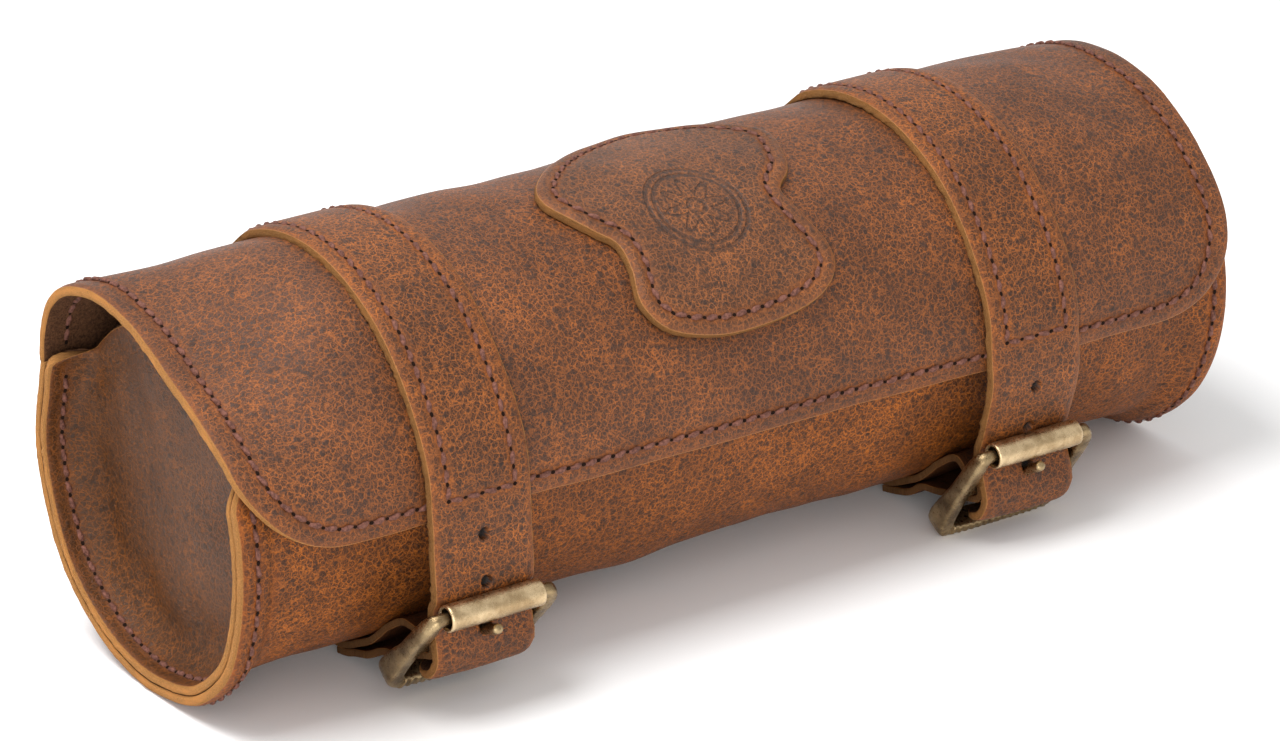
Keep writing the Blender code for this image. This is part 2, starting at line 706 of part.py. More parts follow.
def main():
    clear_scene()
    leather = material("leather", LEATHER, 0.55)
    dark = material("leather_dark", DARK_LEATHER, 0.5)
    thread = material("thread", THREAD_BROWN, 0.8)
    brass = material("antique_brass", BRASS, 0.35, 1.0)
    make_case_wrap(leather)
    make_lid(leather)
    make_patch(leather)
    tube("lid_edge_thread", lid_thread_path(), THREAD_RADIUS, thread)
    tube("patch_thread", patch_thread_path(), THREAD_RADIUS, thread, closed=True)
    for word, side, centre, buckle in (
        ("left", -1, STRAP_LEFT_X, BUCKLE_LEFT),
        ("right", 1, STRAP_RIGHT_X, BUCKLE_RIGHT),
    ):
        middle = section(centre, buckle_axes(buckle)[0])
        swing = make_pivot(f"buckle_pivot_{word}", middle)
        front = make_pivot(f"roller_pivot_{word}", section(centre, on_buckle(buckle, -FRAME_REACH, 0.0)))
        make_gusset(f"gusset_{word}", side, dark)
        tube(f"gusset_thread_{word}", gusset_thread_path(side), THREAD_RADIUS, thread)
        make_strap(f"strap_{word}", centre, buckle, leather)
        tube(f"strap_thread_{word}", strap_thread_path(centre, buckle), THREAD_RADIUS, thread)
        make_billet(f"billet_{word}", centre, buckle, leather)
        tube(f"billet_thread_{word}", billet_thread_path(centre), THREAD_RADIUS, thread)
        make_buckle_frame(f"buckle_frame_{word}", centre, buckle, brass, swing)
        make_roller(f"roller_{word}", centre, buckle, brass, front)
        make_prong(f"prong_{word}", centre, buckle, brass, swing)
    bpy.context.view_layer.update()


main()
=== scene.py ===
"""Looks of the cylindrical leather cue and tool roll case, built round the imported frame.

Shapes are worked out in millimetres about the case's axis and put into the row frame by to_frame.
Angles are in the cross-section, from the front (-Y) upwards: 0 front, 90 top, 180 back, -90 bottom.
Each leather piece is a sheet with its own flat coordinates u (along X) and v (round or along it).
"""

import json
import math

import bmesh
import bpy
import numpy as np
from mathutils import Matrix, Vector


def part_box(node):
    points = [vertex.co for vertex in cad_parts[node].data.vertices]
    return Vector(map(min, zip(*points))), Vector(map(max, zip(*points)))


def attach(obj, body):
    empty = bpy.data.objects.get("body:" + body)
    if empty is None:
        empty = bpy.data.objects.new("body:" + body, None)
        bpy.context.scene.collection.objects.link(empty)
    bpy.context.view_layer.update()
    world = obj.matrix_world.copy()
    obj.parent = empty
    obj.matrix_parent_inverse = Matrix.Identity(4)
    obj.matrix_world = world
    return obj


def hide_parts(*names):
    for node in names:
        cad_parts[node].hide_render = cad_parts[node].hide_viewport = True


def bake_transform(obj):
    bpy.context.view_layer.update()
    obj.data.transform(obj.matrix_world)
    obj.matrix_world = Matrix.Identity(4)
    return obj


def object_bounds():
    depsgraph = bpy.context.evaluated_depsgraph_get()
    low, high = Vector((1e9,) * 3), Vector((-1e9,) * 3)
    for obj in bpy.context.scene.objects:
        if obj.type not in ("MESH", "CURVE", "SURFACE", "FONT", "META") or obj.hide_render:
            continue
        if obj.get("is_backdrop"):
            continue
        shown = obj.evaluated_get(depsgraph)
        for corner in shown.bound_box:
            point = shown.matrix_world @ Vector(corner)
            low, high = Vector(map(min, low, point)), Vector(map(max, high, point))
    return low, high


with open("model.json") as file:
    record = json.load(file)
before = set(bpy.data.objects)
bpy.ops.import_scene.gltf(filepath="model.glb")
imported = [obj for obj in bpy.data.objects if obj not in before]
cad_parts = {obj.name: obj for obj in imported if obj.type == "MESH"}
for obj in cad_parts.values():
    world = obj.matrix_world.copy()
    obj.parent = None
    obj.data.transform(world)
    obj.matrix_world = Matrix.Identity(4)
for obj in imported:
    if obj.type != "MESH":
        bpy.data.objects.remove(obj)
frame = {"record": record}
CAD_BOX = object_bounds()
JOINTS = {joint["name"]: joint for joint in frame["record"]["behaviour"]["joints"]}
HINGE_ANGLE = 154.5
HINGE_TURN = 360.0 - HINGE_ANGLE
RIM = 51.0
AXIS_Y = frame["record"]["mounts"][0]["pos_m"][1] * 1000
HINGE = [1000 * value for value in JOINTS["lid_hinge"]["pos_m"]]
AXIS_Z = HINGE[2] - RIM * math.sin(math.radians(HINGE_ANGLE))
HALF_LENGTH = 1000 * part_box("lid_flap")[1].x

BODY = 46.6
WALL = 2.8
LID = 54.3
LID_THICKNESS = 2.8
LID_CORNER = 27.0
LID_CORNER_DEPTH = 0.93 * LID_CORNER
LID_SEAM_SIDE = 6.2
LID_SEAM_FRONT = 4.4
WALL_FRONT = 45.0
WALL_SEAM = 4.2
PATCH_LIFT = 0.25
PATCH_THICKNESS = 2.6
GUSSET_THICKNESS = 2.5
GUSSET_SEAM = 4.4
STRAP_OUTSIDE = 57.8
STRAP_BACK = 127.0
STRAP_HALF_WIDTH = 14.0
STRAP_TIP = 9.0
STRAP_SEAM_X = 9.4
STRAP_STITCH_END = 7.2
STRAP_THICKNESS = 2.4
BILLET_HALF_WIDTH = 13.2
BILLET_LIFT = 0.35
FRONT_BAR = -14.65
STITCH_PITCH = 4.35
STITCH_RINGS, STITCH_SIDES = 11, 9
HOLE_SIDES = 10
MM_PER_DEGREE = math.radians(LID)
# One row of a gusset's points is 1.5 degrees, measured at its seam
MM_PER_ROW = 1.5 * math.radians(47.0)
# Third flat coordinate of each kind of sheet, so that their grains differ
STRAP_LAYER, PATCH_LAYER, BILLET_LAYER, GUSSET_LAYER = 20.0, 40.0, 60.0, 300.0

SIDES = {
    "left": {"tilt": 49.0, "end": -1, "first_hole": 3.1},
    "right": {"tilt": 57.2, "end": 1, "first_hole": 7.0},
}
for word, side in SIDES.items():
    middle = JOINTS[f"buckle_swing_{word}"]["pos_m"]
    side["word"] = word
    side["x"] = 1000 * middle[0]
    side["y"] = 1000 * middle[1] - AXIS_Y
    side["z"] = 1000 * middle[2] - AXIS_Z

# Outer radius of the sewn rims and of the lid's two ends, by angle
NEAR_RIM = {
    -206: 50.2, -196: 48.8, -180: 49.7, -161: 49.4, -139: 50.2, -120: 49.6, -100: 49.6,
    -90: 50.0, -78: 50.2, -62: 51.6, -38: 51.3, -27: 49.8, -14: 48.5, 0: 47.8, 11: 47.6,
    19: 47.1, 27: 45.6, 33: 42.8, 40: 40.2, 46: 39.0,
}
FAR_RIM = {
    -206: 50.4, -180: 50.2, -150: 50.8, -120: 50.2, -90: 50.0, -65: 50.8, -40: 50.4,
    -15: 49.4, 0: 48.9, 20: 48.2, 33: 47.4, 46: 46.6,
}
NEAR_LID = {
    -3: 54.0, 4: 53.4, 10: 52.6, 16: 51.4, 22: 49.8, 28: 48.3, 34: 46.2, 40: 44.4, 50: 42.7,
    60: 41.8, 70: 42.0, 80: 43.6, 88: 45.4, 96: 47.2, 104: 49.8, 113: 52.4, 120: 54.0,
    130: 55.8, 138: 56.2, 146: 54.0, 151: 52.2, 155: 50.3,
}
FAR_LID = {
    -3: 54.2, 10: 53.2, 25: 51.8, 45: 51.0, 65: 51.0, 85: 52.0, 105: 53.2, 125: 54.2,
    140: 54.0, 148: 52.4, 155: 50.6,
}
GUSSET_EDGE = {
    30: 38.5, 46: 36.4, 60: 36.2, 75: 37.0, 90: 38.4, 105: 40.2, 120: 41.6, 135: 42.6,
    146: 43.2, 155: 43.0,
}
# Outline of the patch as (x, angle) pairs
PATCH_OUTLINE = (
    (-37.7, 84.8), (-27.7, 94.2), (-12.5, 103.4), (4.1, 107.5), (18.8, 101.9), (28.7, 93.9),
    (33.5, 85.4), (30.8, 75.2), (27.2, 67.8), (21.3, 62.1), (22.7, 53.3), (25.2, 43.8),
    (24.2, 37.1), (18.3, 31.9), (8.1, 29.1), (-7.5, 28.1), (-18.9, 29.7), (-28.0, 33.6),
    (-32.1, 41.2), (-30.4, 50.7), (-30.4, 58.5), (-34.4, 64.1), (-38.6, 71.4), (-40.4, 77.6),
)
PATCH_CENTRE = (-4.0, 63.0)


# Numbers


def smooth(value):
    value = np.clip(value, 0.0, 1.0)
    return value * value * (3.0 - 2.0 * value)


def by_angle(table, angle, window=9.0):
    """Value at each angle from a table of a few, with its corners smoothed."""
    places = np.arange(min(table) - 20.0, max(table) + 20.0, 0.5)
    values = np.interp(places, list(table), list(table.values()))
    kernel = np.hanning(int(window * 2) + 3)
    padded = np.pad(values, len(kernel) // 2, mode="edge")
    values = np.convolve(padded, kernel / kernel.sum(), mode="valid")
    return np.interp(angle, places, values[: len(places)])


def waves(points, size, seed, count=26):
    """Smooth noise with features of about that size in millimetres, from a sum of plane waves."""
    source = np.random.default_rng(seed)
    directions = source.normal(size=(count, 3))
    directions /= np.linalg.norm(directions, axis=1)[:, None]
    turns = directions.T * (2.0 * math.pi / (size * source.uniform(0.8, 1.7, count)))
    phases = source.uniform(0.0, 2.0 * math.pi, count)
    return np.cos(points @ turns + phases).sum(-1) / math.sqrt(count / 2.0)


def to_frame(points):
    return (np.asarray(points) + (0.0, AXIS_Y, AXIS_Z)) / 1000.0


def polar(x, radius, angle):
    turn = np.radians(angle)
    x, radius, turn = np.broadcast_arrays(x, radius, turn)
    return np.stack([x, -radius * np.cos(turn), radius * np.sin(turn)], -1)


def normals_of(grid):
    """Unit normals of a grid of points, from the directions of its rows and columns."""
    normal = np.cross(np.gradient(grid, axis=0), np.gradient(grid, axis=1))
    return normal / np.maximum(np.linalg.norm(normal, axis=-1, keepdims=True), 1e-9)


def ring_turns(count):
    return np.linspace(0.0, 2.0 * math.pi, count, endpoint=False)


def layered(u, v, layer=0.0):
    """Flat coordinates of a sheet's points."""
    return np.stack([u, v, u * 0 + layer], -1)


def lengths_along(line):
    """Length of a polyline up to each of its points."""
    steps = np.linalg.norm(np.diff(line, axis=0), axis=1)
    return np.concatenate([[0.0], np.cumsum(steps)])


def distance_to_line(u, v, line):
    """Distance of each flat point to a polyline."""
    points = np.stack([u.ravel(), v.ravel()], 1)
    best = np.full(len(points), 1e9)
    for start, end in zip(line[:-1], line[1:]):
        along = end - start
        share = np.clip((points - start) @ along / max(along @ along, 1e-12), 0.0, 1.0)
        best = np.minimum(best, np.linalg.norm(points - start - share[:, None] * along, axis=1))
    return best.reshape(u.shape)


def resampled(line, pitch, closed=False):
    """The polyline's points at one even pitch."""
    line = np.asarray(line, float)
    if closed:
        line = np.vstack([line, line[:1]])
    total = lengths_along(line)
    places = np.linspace(0.0, total[-1], max(int(round(total[-1] / pitch)), 1) + 1)
    return np.stack([np.interp(places, total, line[:, k]) for k in range(line.shape[1])], 1)


def catmull(points, count, closed=False):
    """Smooth line through the points."""
    points = np.asarray(points, float)
    size = len(points)
    spans = size if closed else size - 1
    made = []
    for place in np.linspace(0.0, spans, count, endpoint=not closed):
        i = min(int(place), spans - 1)
        t = place - i
        near = [(i + k) % size if closed else min(max(i + k, 0), size - 1) for k in (-1, 0, 1, 2)]
        p0, p1, p2, p3 = points[near]
        made.append(
            0.5 * (2 * p1 + (p2 - p0) * t + (2 * p0 - 5 * p1 + 4 * p2 - p3) * t * t
                   + (3 * p1 - p0 - 3 * p2 + p3) * t**3)
        )
    return np.array(made)


# Meshes


def mesh_object(name, points, faces, looks, indices=None, attributes=None):
    """Object from points about the axis in millimetres. Its flat coordinates go with it."""
    mesh = bpy.data.meshes.new(name)
    mesh.from_pydata(to_frame(points).tolist(), [], faces)
    for look in looks:
        mesh.materials.append(look)
    if indices is not None:
        mesh.polygons.foreach_set("material_index", np.asarray(indices, np.int32))
    for key, values in (attributes or {}).items():
        values = np.asarray(values, np.float32)
        kind = "FLOAT_VECTOR" if values.ndim == 2 else "FLOAT"
        attribute = mesh.attributes.new(key, kind, "POINT")
        attribute.data.foreach_set("vector" if values.ndim == 2 else "value", values.ravel())
    mesh.update()
    obj = bpy.data.objects.new(name, mesh)
    bpy.context.scene.collection.objects.link(obj)
    bm = bmesh.new()
    bm.from_mesh(mesh)
    bmesh.ops.recalc_face_normals(bm, faces=bm.faces)
    bm.to_mesh(mesh)
    bm.free()
    mesh.shade_smooth()
    return obj


def quads(rows, columns, offset=0, wrap=False):
    """Faces of a grid of points, row by row."""
    made = []
    for i in range(rows if wrap else rows - 1):
        near = (i + 1) % rows
        for j in range(columns - 1):
            a, b = offset + i * columns + j, offset + near * columns + j
            made.append((a, a + 1, b + 1, b))
    return made


def tube_faces(rings, sides, offset=0, closed=False):
    """Faces of a tube of point rings: its ends are joined if closed, and capped if not."""
    made = []
    for i in range(rings if closed else rings - 1):
        a, b = offset + i * sides, offset + (i + 1) % rings * sides
        for k in range(sides):
            near = (k + 1) % sides
            made.append((a + k, a + near, b + near, b + k))
    if not closed:
        last = offset + (rings - 1) * sides
        made += [tuple(range(offset, offset + sides)), tuple(range(last, last + sides))]
    return made


def perimeter(rows, columns, wrap):
    """(i, j) round the edge of a grid and, for each, the point one step inside."""
    if wrap:
        return [(i, 0) for i in range(rows)], [(i, 1) for i in range(rows)]
    around = [(0, j) for j in range(columns)] + [(i, columns - 1) for i in range(1, rows)]
    around += [(rows - 1, j) for j in range(columns - 2, -1, -1)]
    around += [(i, 0) for i in range(rows - 2, 0, -1)]
    inside = [
        (min(max(i, 1), rows - 2), min(max(j, 1), columns - 2)) for i, j in around
    ]
    return around, inside


def leather_sheet(name, outer, inner, looks, flat, seam, edge, wrap=False, fuzz=0.07, dark=None):
    """Closed sheet of leather between two grids: grain side, flesh side and a rounded raw edge."""
    rows, columns = outer.shape[:2]
    count = rows * columns
    around, inside = perimeter(rows, columns, wrap)
    around_index = np.array([i * columns + j for i, j in around])
    inside_index = np.array([i * columns + j for i, j in inside])
    top, low = outer.reshape(-1, 3), inner.reshape(-1, 3)
    outward = top[around_index] - top[inside_index]
    outward /= np.maximum(np.linalg.norm(outward, axis=1, keepdims=True), 1e-9)
    strips = []
    for share, bulge in ((0.06, 0.16), (0.2, 0.34), (0.5, 0.42), (0.8, 0.34), (0.94, 0.16)):
        ring = top[around_index] * (1 - share) + low[around_index] * share
        rough = fuzz * waves(ring, 1.1, int(share * 100)) + 0.5 * fuzz * waves(ring, 4.0, 7)
        strips.append(ring + outward * (bulge + rough[:, None]))
    points = np.vstack([top, low, *strips])
    faces = quads(rows, columns, 0, wrap)
    plain = len(faces)
    faces += [face[::-1] for face in quads(rows, columns, count, wrap)]
    flesh = len(faces)
    first_strip = 2 * count + np.arange(len(around))
    loops = [around_index, *[first_strip + k * len(around) for k in range(5)], around_index + count]
    for first, second in zip(loops, loops[1:]):
        for k in range(len(around)):
            near = (k + 1) % len(around)
            faces.append((int(first[k]), int(second[k]), int(second[near]), int(first[near])))
    indices = [0] * plain + [2] * (flesh - plain) + [1] * (len(faces) - flesh)
    if wrap:
        for offset, index in ((0, 0), (count, 2)):
            last = [offset + i * columns + columns - 1 for i in range(rows)]
            faces.append(last)
            indices.append(index)
    places = flat.reshape(-1, 3)
    ring_flat = [places[around_index] + (0, 0, 3.0 * k) for k in range(1, 6)]
    attributes = {
        "rest": np.vstack([places, places + (0, 0, 9.0), *ring_flat]),
        "seam": np.concatenate([seam.ravel(), seam.ravel()] + [np.full(len(around), 9.0)] * 5),
        "edge": np.concatenate([edge.ravel(), edge.ravel()] + [np.zeros(len(around))] * 5),
    }
    # dark is painted shade for the raw edge, carried by the shade attribute
    if dark is not None:
        shade = np.concatenate([dark.ravel(), dark.ravel()] + [dark.ravel()[around_index]] * 5)
        attributes["shade"] = shade
    return mesh_object(name, points, faces, looks, indices, attributes)


# Where the lid's leather starts to bend from the case, and where it follows the lid
HINGE_START = to_frame(polar(0.0, 51.5, HINGE_ANGLE - 0.5)).tolist()
HINGE_END = to_frame(polar(0.0, 54.0, 132.0)).tolist()


def ride_on(obj, body, nodes=()):
    """Joins a piece to its body. "lid_bend" is the lid's own leather, which bends at the hinge on
    the real case; here it is only baked in place and joined to no body.
    """
    if body == "lid_bend":
        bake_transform(obj)
    else:
        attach(obj, body)
    if nodes:
        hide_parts(*nodes)


# Stitches


def stitch_shape():
    """One slanted stitch as (share along, across, up): thick in the middle, diving at both ends."""
    along, across, up = [], [], []
    for i in range(STITCH_RINGS):
        t = i / (STITCH_RINGS - 1)
        thick = 0.64 * math.sin(math.pi * (0.06 + 0.88 * t)) ** 0.5
        for k in range(STITCH_SIDES):
            turn = 2.0 * math.pi * k / STITCH_SIDES
            size = thick * (1.0 + 0.13 * math.cos(2.0 * (turn - 5.0 * t)))
            along.append(t)
            across.append(size * math.cos(turn) * 1.08)
            up.append(size * math.sin(turn) * 0.9 - 0.62 * abs(2.0 * t - 1.0) ** 3.5)
    return np.array(along), np.array(across), np.array(up)


def stitch_rows(name, rows, place, looks, lift=0.28, closed=False, slant=0.30, seed=3):
    """Stitches and the pricked holes between them, along flat lines laid on a sheet. Each hole is a
    shallow dark disc, painted shade standing for its depth.
    """
    along, across, up = stitch_shape()
    source = np.random.default_rng(seed)
    points, faces, indices = [], [], []
    total = 0
    for row in rows:
        spots = resampled(row, STITCH_PITCH, closed)
        for start, end in zip(spots, spots[1:]):
            run = end - start
            length = np.linalg.norm(run)
            run = run / length
            cross = np.array([-run[1], run[0]])
            lean = slant + source.uniform(-0.08, 0.08)
            share = 0.09 + 0.82 * along
            drift = (along - 0.5) * 2.0 * lean + across
            flat = start + np.outer(share * length, run) + np.outer(drift, cross)
            height = up + lift + source.uniform(-0.05, 0.05)
            points.append(place(flat[:, 0], flat[:, 1], height))
            tube = tube_faces(STITCH_RINGS, STITCH_SIDES, total)
            faces += tube
            indices += [0] * len(tube)
            total += len(along)
        for spot, near in zip(spots, np.roll(spots, -1, axis=0)):
            run = near - spot
            run = run / max(np.linalg.norm(run), 1e-9)
            turn = ring_turns(HOLE_SIDES)
            size = source.uniform(0.85, 1.15)
            oval = np.outer(0.58 * size * np.cos(turn), run)
            oval += np.outer(0.44 * size * np.sin(turn), (-run[1], run[0]))
            for scale, height in ((1.0, 0.02), (0.75, 0.07)):
                flat = spot + oval * scale
                points.append(place(flat[:, 0], flat[:, 1], np.full(HOLE_SIDES, height)))
            tube = tube_faces(2, HOLE_SIDES, total)
            del tube[HOLE_SIDES]  # the cap of the outer ring, which stays open
            faces += tube
            indices += [1] * len(tube)
            total += 2 * HOLE_SIDES
    points = np.vstack(points)
    return mesh_object(name, points, faces, looks, indices, {"rest": points})


def sew(name, body, nodes, rows, place, looks, **how):
    """Makes a piece of stitching and joins it to its body."""
    ride_on(stitch_rows(name, rows, place, looks, **how), body, nodes)


# Leather pieces: the shape of each


def wall_radius(x, angle):
    into_rim = smooth((np.abs(x) - 135.5) / 11.5)
    rim = np.where(x < 0, by_angle(NEAR_RIM, angle), by_angle(FAR_RIM, angle))
    radius = BODY + (rim - BODY) * into_rim
    back = smooth((-182.5 - angle) / 23.0)
    return radius + (RIM - radius) * back * (1.0 - into_rim)


def rim_recess(angle):
    """How far the left rim steps back where the lid's end covers it."""
    return 9.6 * smooth((angle - 15.0) / 19.0)


def wall_place(x, angle, height=0.0):
    x, angle = np.broadcast_arrays(x, angle)
    radius = wall_radius(x, angle)
    flat = np.stack([x, np.radians(angle) * BODY, radius * 0], -1)
    x = x + rim_recess(angle) * smooth((-105.0 - x) / 40.0)
    sway = 0.30 * waves(flat, 46.0, 11) + 0.13 * waves(flat, 15.0, 12)
    calm = smooth((150.0 - np.abs(x)) / 14.0) * smooth((angle + HINGE_TURN) / 14.0)
    points = polar(x, radius + sway * calm + height, angle)
    points[..., 2] = np.maximum(points[..., 2], -AXIS_Z + 0.05)
    return points


def wall_stitch(u, v, height):
    return wall_place(u, np.degrees(v / BODY), height)


def lid_radius(x, angle):
    base = RIM + (LID - RIM) * smooth((HINGE_ANGLE - angle) / 12.0)
    near = 1.0 - smooth((x + 150.0) / 44.0)
    far = smooth((x - 108.0) / 42.0)
    base = base + (by_angle(NEAR_LID, angle) - base) * near
    return base + (by_angle(FAR_LID, angle) - base) * far


def lid_front(x):
    """Arc of the lid's front edge from angle 0, in millimetres. It is lower to the right."""
    return -1.6 - 1.3 * x / 120.0


def lid_place(u, v, height=0.0):
    angle = v / MM_PER_DEGREE
    flat = np.stack(np.broadcast_arrays(u, v, 0.0 * u), -1)
    sway = 0.34 * waves(flat, 52.0, 21) + 0.12 * waves(flat, 17.0, 22)
    calm = smooth((HINGE_ANGLE - angle) / 14.0)
    return polar(u, lid_radius(u, angle) + sway * calm + height, angle)


def lid_outline(side_inset=0.0, front_inset=0.0, back_angle=HINGE_ANGLE):
    """Flat line of the lid's left end, front and right end, that far inside its edge."""
    half = HALF_LENGTH - side_inset
    back = back_angle * MM_PER_DEGREE
    across, down = LID_CORNER - side_inset, LID_CORNER_DEPTH - front_inset
    line = [(-half, back - t) for t in np.linspace(0.0, back - LID_CORNER, 40)]
    turns = np.radians(np.linspace(0.0, 90.0, 16))
    line += [(-half + across * (1 - math.cos(t)), LID_CORNER - down * math.sin(t)) for t in turns]
    right = [(-x, v) for x, v in line[::-1]]
    made = np.array(line + right)
    made[:, 1] += np.where(made[:, 1] < 30.0, lid_front(made[:, 0]), 0.0) * smooth(
        (30.0 - made[:, 1]) / 20.0
    )
    return made


def lid_half_width(v):
    depth = np.clip((LID_CORNER - v) / LID_CORNER_DEPTH, 0.0, 1.0)
    return HALF_LENGTH - LID_CORNER * (1.0 - np.sqrt(np.maximum(1.0 - depth**2, 0.0)))


def strap_axes(side):
    tilt = math.radians(side["tilt"])
    along = np.array([math.cos(tilt), -math.sin(tilt)])
    outward = np.array([-math.sin(tilt), -math.cos(tilt)])
    return np.array([side["y"], side["z"]]), along, outward


def on_buckle(side, a, b):
    """(y, z) of a point a along and b outward of the buckle's middle."""
    middle, along, outward = strap_axes(side)
    return middle + np.multiply.outer(a, along) + np.multiply.outer(b, outward)


def strap_line(side):
    """Outer face of a strap as (y, z) points at one pitch, from the back of the lid to its tip."""
    turns = np.radians(np.linspace(STRAP_BACK, 0.0, 60))
    reach = STRAP_OUTSIDE - 1.1 * smooth((np.degrees(turns) - 8.0) / 35.0)
    over = np.stack([-reach * np.cos(turns), reach * np.sin(turns)], 1)
    local = [(-15.5, -4.3), (-11.5, -3.4), (-7.2, 1.8), (-3.6, 6.2), (0.0, 7.3), (3.6, 7.2),
             (7.4, 4.8), (9.9, 2.3), (11.5, 0.7)]
    tail = [over[-1], (-STRAP_OUTSIDE + 0.2, -6.0)] + [on_buckle(side, a, b) for a, b in local]
    tail = catmull(tail, 160)
    kernel = np.hanning(17)
    kernel /= kernel.sum()
    padded = np.vstack([over[-9:-1], tail, np.repeat(tail[-1:], 8, axis=0)])
    eased = np.stack([np.convolve(padded[:, k], kernel, mode="valid") for k in (0, 1)], 1)
    eased = np.vstack([eased, tail[-1:]])
    return resampled(np.vstack([over[:-4], eased[2:]]), 0.35)


def line_place(line, flip=1.0):
    """Place function for a sheet that follows a (y, z) line: u is X and v the length along it."""
    lengths = lengths_along(line)
    run = np.gradient(line, axis=0)
    run /= np.linalg.norm(run, axis=1, keepdims=True)
    side = np.stack([run[:, 1], -run[:, 0]], 1) * flip

    def place(u, v, height=0.0):
        y = np.interp(v, lengths, line[:, 0]) + np.interp(v, lengths, side[:, 0]) * height
        z = np.interp(v, lengths, line[:, 1]) + np.interp(v, lengths, side[:, 1]) * height
        return np.stack(np.broadcast_arrays(u, y, z), -1)

    return place, lengths[-1]


# Leather pieces: building them


def relief(seam, edge, groove=0.32, roll=0.42):
    """How far the surface sinks along its stitches and rolls off at its edge."""
    return -groove * np.exp(-((seam / 1.25) ** 2)) - roll * np.exp(-edge / 0.75)


def outward_sign(grid):
    """1 if the grid's computed normals point away from the case's axis, and -1 if not."""
    normal = normals_of(grid)
    middle = tuple(size // 2 for size in grid.shape[:2])
    return 1.0 if normal[middle][1:] @ grid[middle][1:] > 0 else -1.0


def make_wall(looks):
    angles = np.linspace(-HINGE_TURN, WALL_FRONT, 140)
    xs = np.concatenate([np.linspace(-150.0, -132.0, 18), np.linspace(-130.5, 130.5, 168),
                         np.linspace(132.0, 150.0, 18)])
    grid_x, grid_angle = np.meshgrid(xs, angles)
    flat = layered(grid_x, np.radians(grid_angle) * BODY)
    edge = np.minimum(HALF_LENGTH - np.abs(grid_x), np.radians(WALL_FRONT - grid_angle) * BODY)
    seam = np.abs(HALF_LENGTH - WALL_SEAM - np.abs(grid_x))
    crease_gap = np.abs(grid_x + 140.6) + 6.0 * smooth(np.abs(grid_angle + 16.0) / 26.0 - 0.4)
    edge = np.minimum(edge, crease_gap * 0.9 + 0.55)
    outer = wall_place(grid_x, grid_angle, relief(seam, edge))
    crease = np.exp(-(((grid_x + 141.0) / 1.6) ** 2)) * smooth((grid_angle + 60) / 30)
    outer = outer + normals_of(outer) * (-0.5 * crease[..., None]) * outward_sign(outer)
    inner = wall_place(grid_x, grid_angle, -WALL)
    wall = leather_sheet("case_wall", outer, inner, looks, flat, seam, edge)
    ride_on(wall, "case", ["case_wrap"])


def make_lid(looks):
    turns = np.radians(np.linspace(90.0, 0.0, 22))
    corner = LID_CORNER - LID_CORNER_DEPTH * np.sin(turns)
    back = HINGE_ANGLE * MM_PER_DEGREE
    levels = np.concatenate([corner, np.linspace(LID_CORNER, back, 92)[1:]])
    shares = np.linspace(-1.0, 1.0, 203)
    base_v, share = np.meshgrid(levels, shares, indexing="ij")
    u = share * lid_half_width(base_v)
    v = base_v + lid_front(u) * smooth((30.0 - base_v) / 20.0)
    edge = distance_to_line(u, v, lid_outline())
    seam = distance_to_line(u, v, lid_outline(LID_SEAM_SIDE, LID_SEAM_FRONT))
    outer = lid_place(u, v, relief(seam, edge))
    inner = lid_place(u, v, -LID_THICKNESS)
    lid = leather_sheet("lid_leather", outer, inner, looks, layered(u, v), seam, edge)
    ride_on(lid, "lid_bend", ["lid_flap"])


def patch_outline(count):
    """Closed flat outline of the patch on the lid."""
    return catmull([(x, angle * MM_PER_DEGREE) for x, angle in PATCH_OUTLINE], count, closed=True)


def patch_place(u, v, height=0.0):
    return lid_place(u, v, height + PATCH_LIFT + PATCH_THICKNESS)


def inset_line(line, distance):
    """Closed flat line moved inwards."""
    run = np.roll(line, -1, axis=0) - np.roll(line, 1, axis=0)
    run /= np.linalg.norm(run, axis=1, keepdims=True)
    side = np.stack([run[:, 1], -run[:, 0]], 1)
    centre = line.mean(0)
    sign = 1.0 if ((line + side - centre) ** 2).sum() < ((line - centre) ** 2).sum() else -1.0
    return line + side * sign * distance


def make_patch(looks, threads):
    outline = patch_outline(200)
    centre = np.array([PATCH_CENTRE[0], PATCH_CENTRE[1] * MM_PER_DEGREE])
    shares = 1.0 - np.concatenate([np.linspace(0.0, 0.2, 12), np.linspace(0.24, 0.97, 24)])
    flat2 = centre + (outline[:, None, :] - centre) * shares[None, :, None]
    u, v = flat2[..., 0], flat2[..., 1]
    edge = distance_to_line(u, v, np.vstack([outline, outline[:1]]))
    stitch_line = inset_line(outline, 4.1)
    seam = distance_to_line(u, v, np.vstack([stitch_line, stitch_line[:1]]))
    puff = 0.35 * smooth(edge / 2.0) - 0.15 * smooth((edge - 5.0) / 6.0)
    outer = patch_place(u, v, relief(seam, edge, 0.45, 0.55) + puff)
    inner = patch_place(u, v, -PATCH_THICKNESS)
    flat = layered(u, v, PATCH_LAYER)
    patch = leather_sheet("patch_leather", outer, inner, looks, flat, seam, edge, wrap=True)
    ride_on(patch, "lid", ["patch"])
    sew("patch_stitches", "lid", ["patch_thread"], [stitch_line], patch_place, threads,
        lift=0.12, closed=True, seed=5)


def nearest_length(line, point):
    """Length along the line at its point nearest to this one."""
    return lengths_along(line)[np.argmin(np.linalg.norm(line - point, axis=1))]


def strap_holes(side, line):
    """(length, long half, cross half) of each hole in a strap."""
    front = nearest_length(line, np.array([-STRAP_OUTSIDE, 0.0]))
    first = front + side["first_hole"]
    prong = nearest_length(line, on_buckle(side, -7.6, 1.6))
    tail = nearest_length(line, on_buckle(side, 5.0, 6.8))
    return [(first, 1.5, 1.4), (first + 12.3, 1.5, 1.4), (prong, 1.9, 1.7), (tail, 1.7, 1.3)]


def strap_sway(x, v):
    return 0.16 * waves(layered(x, v, STRAP_LAYER), 21.0, 31) * smooth((v - 40.0) / 60.0)


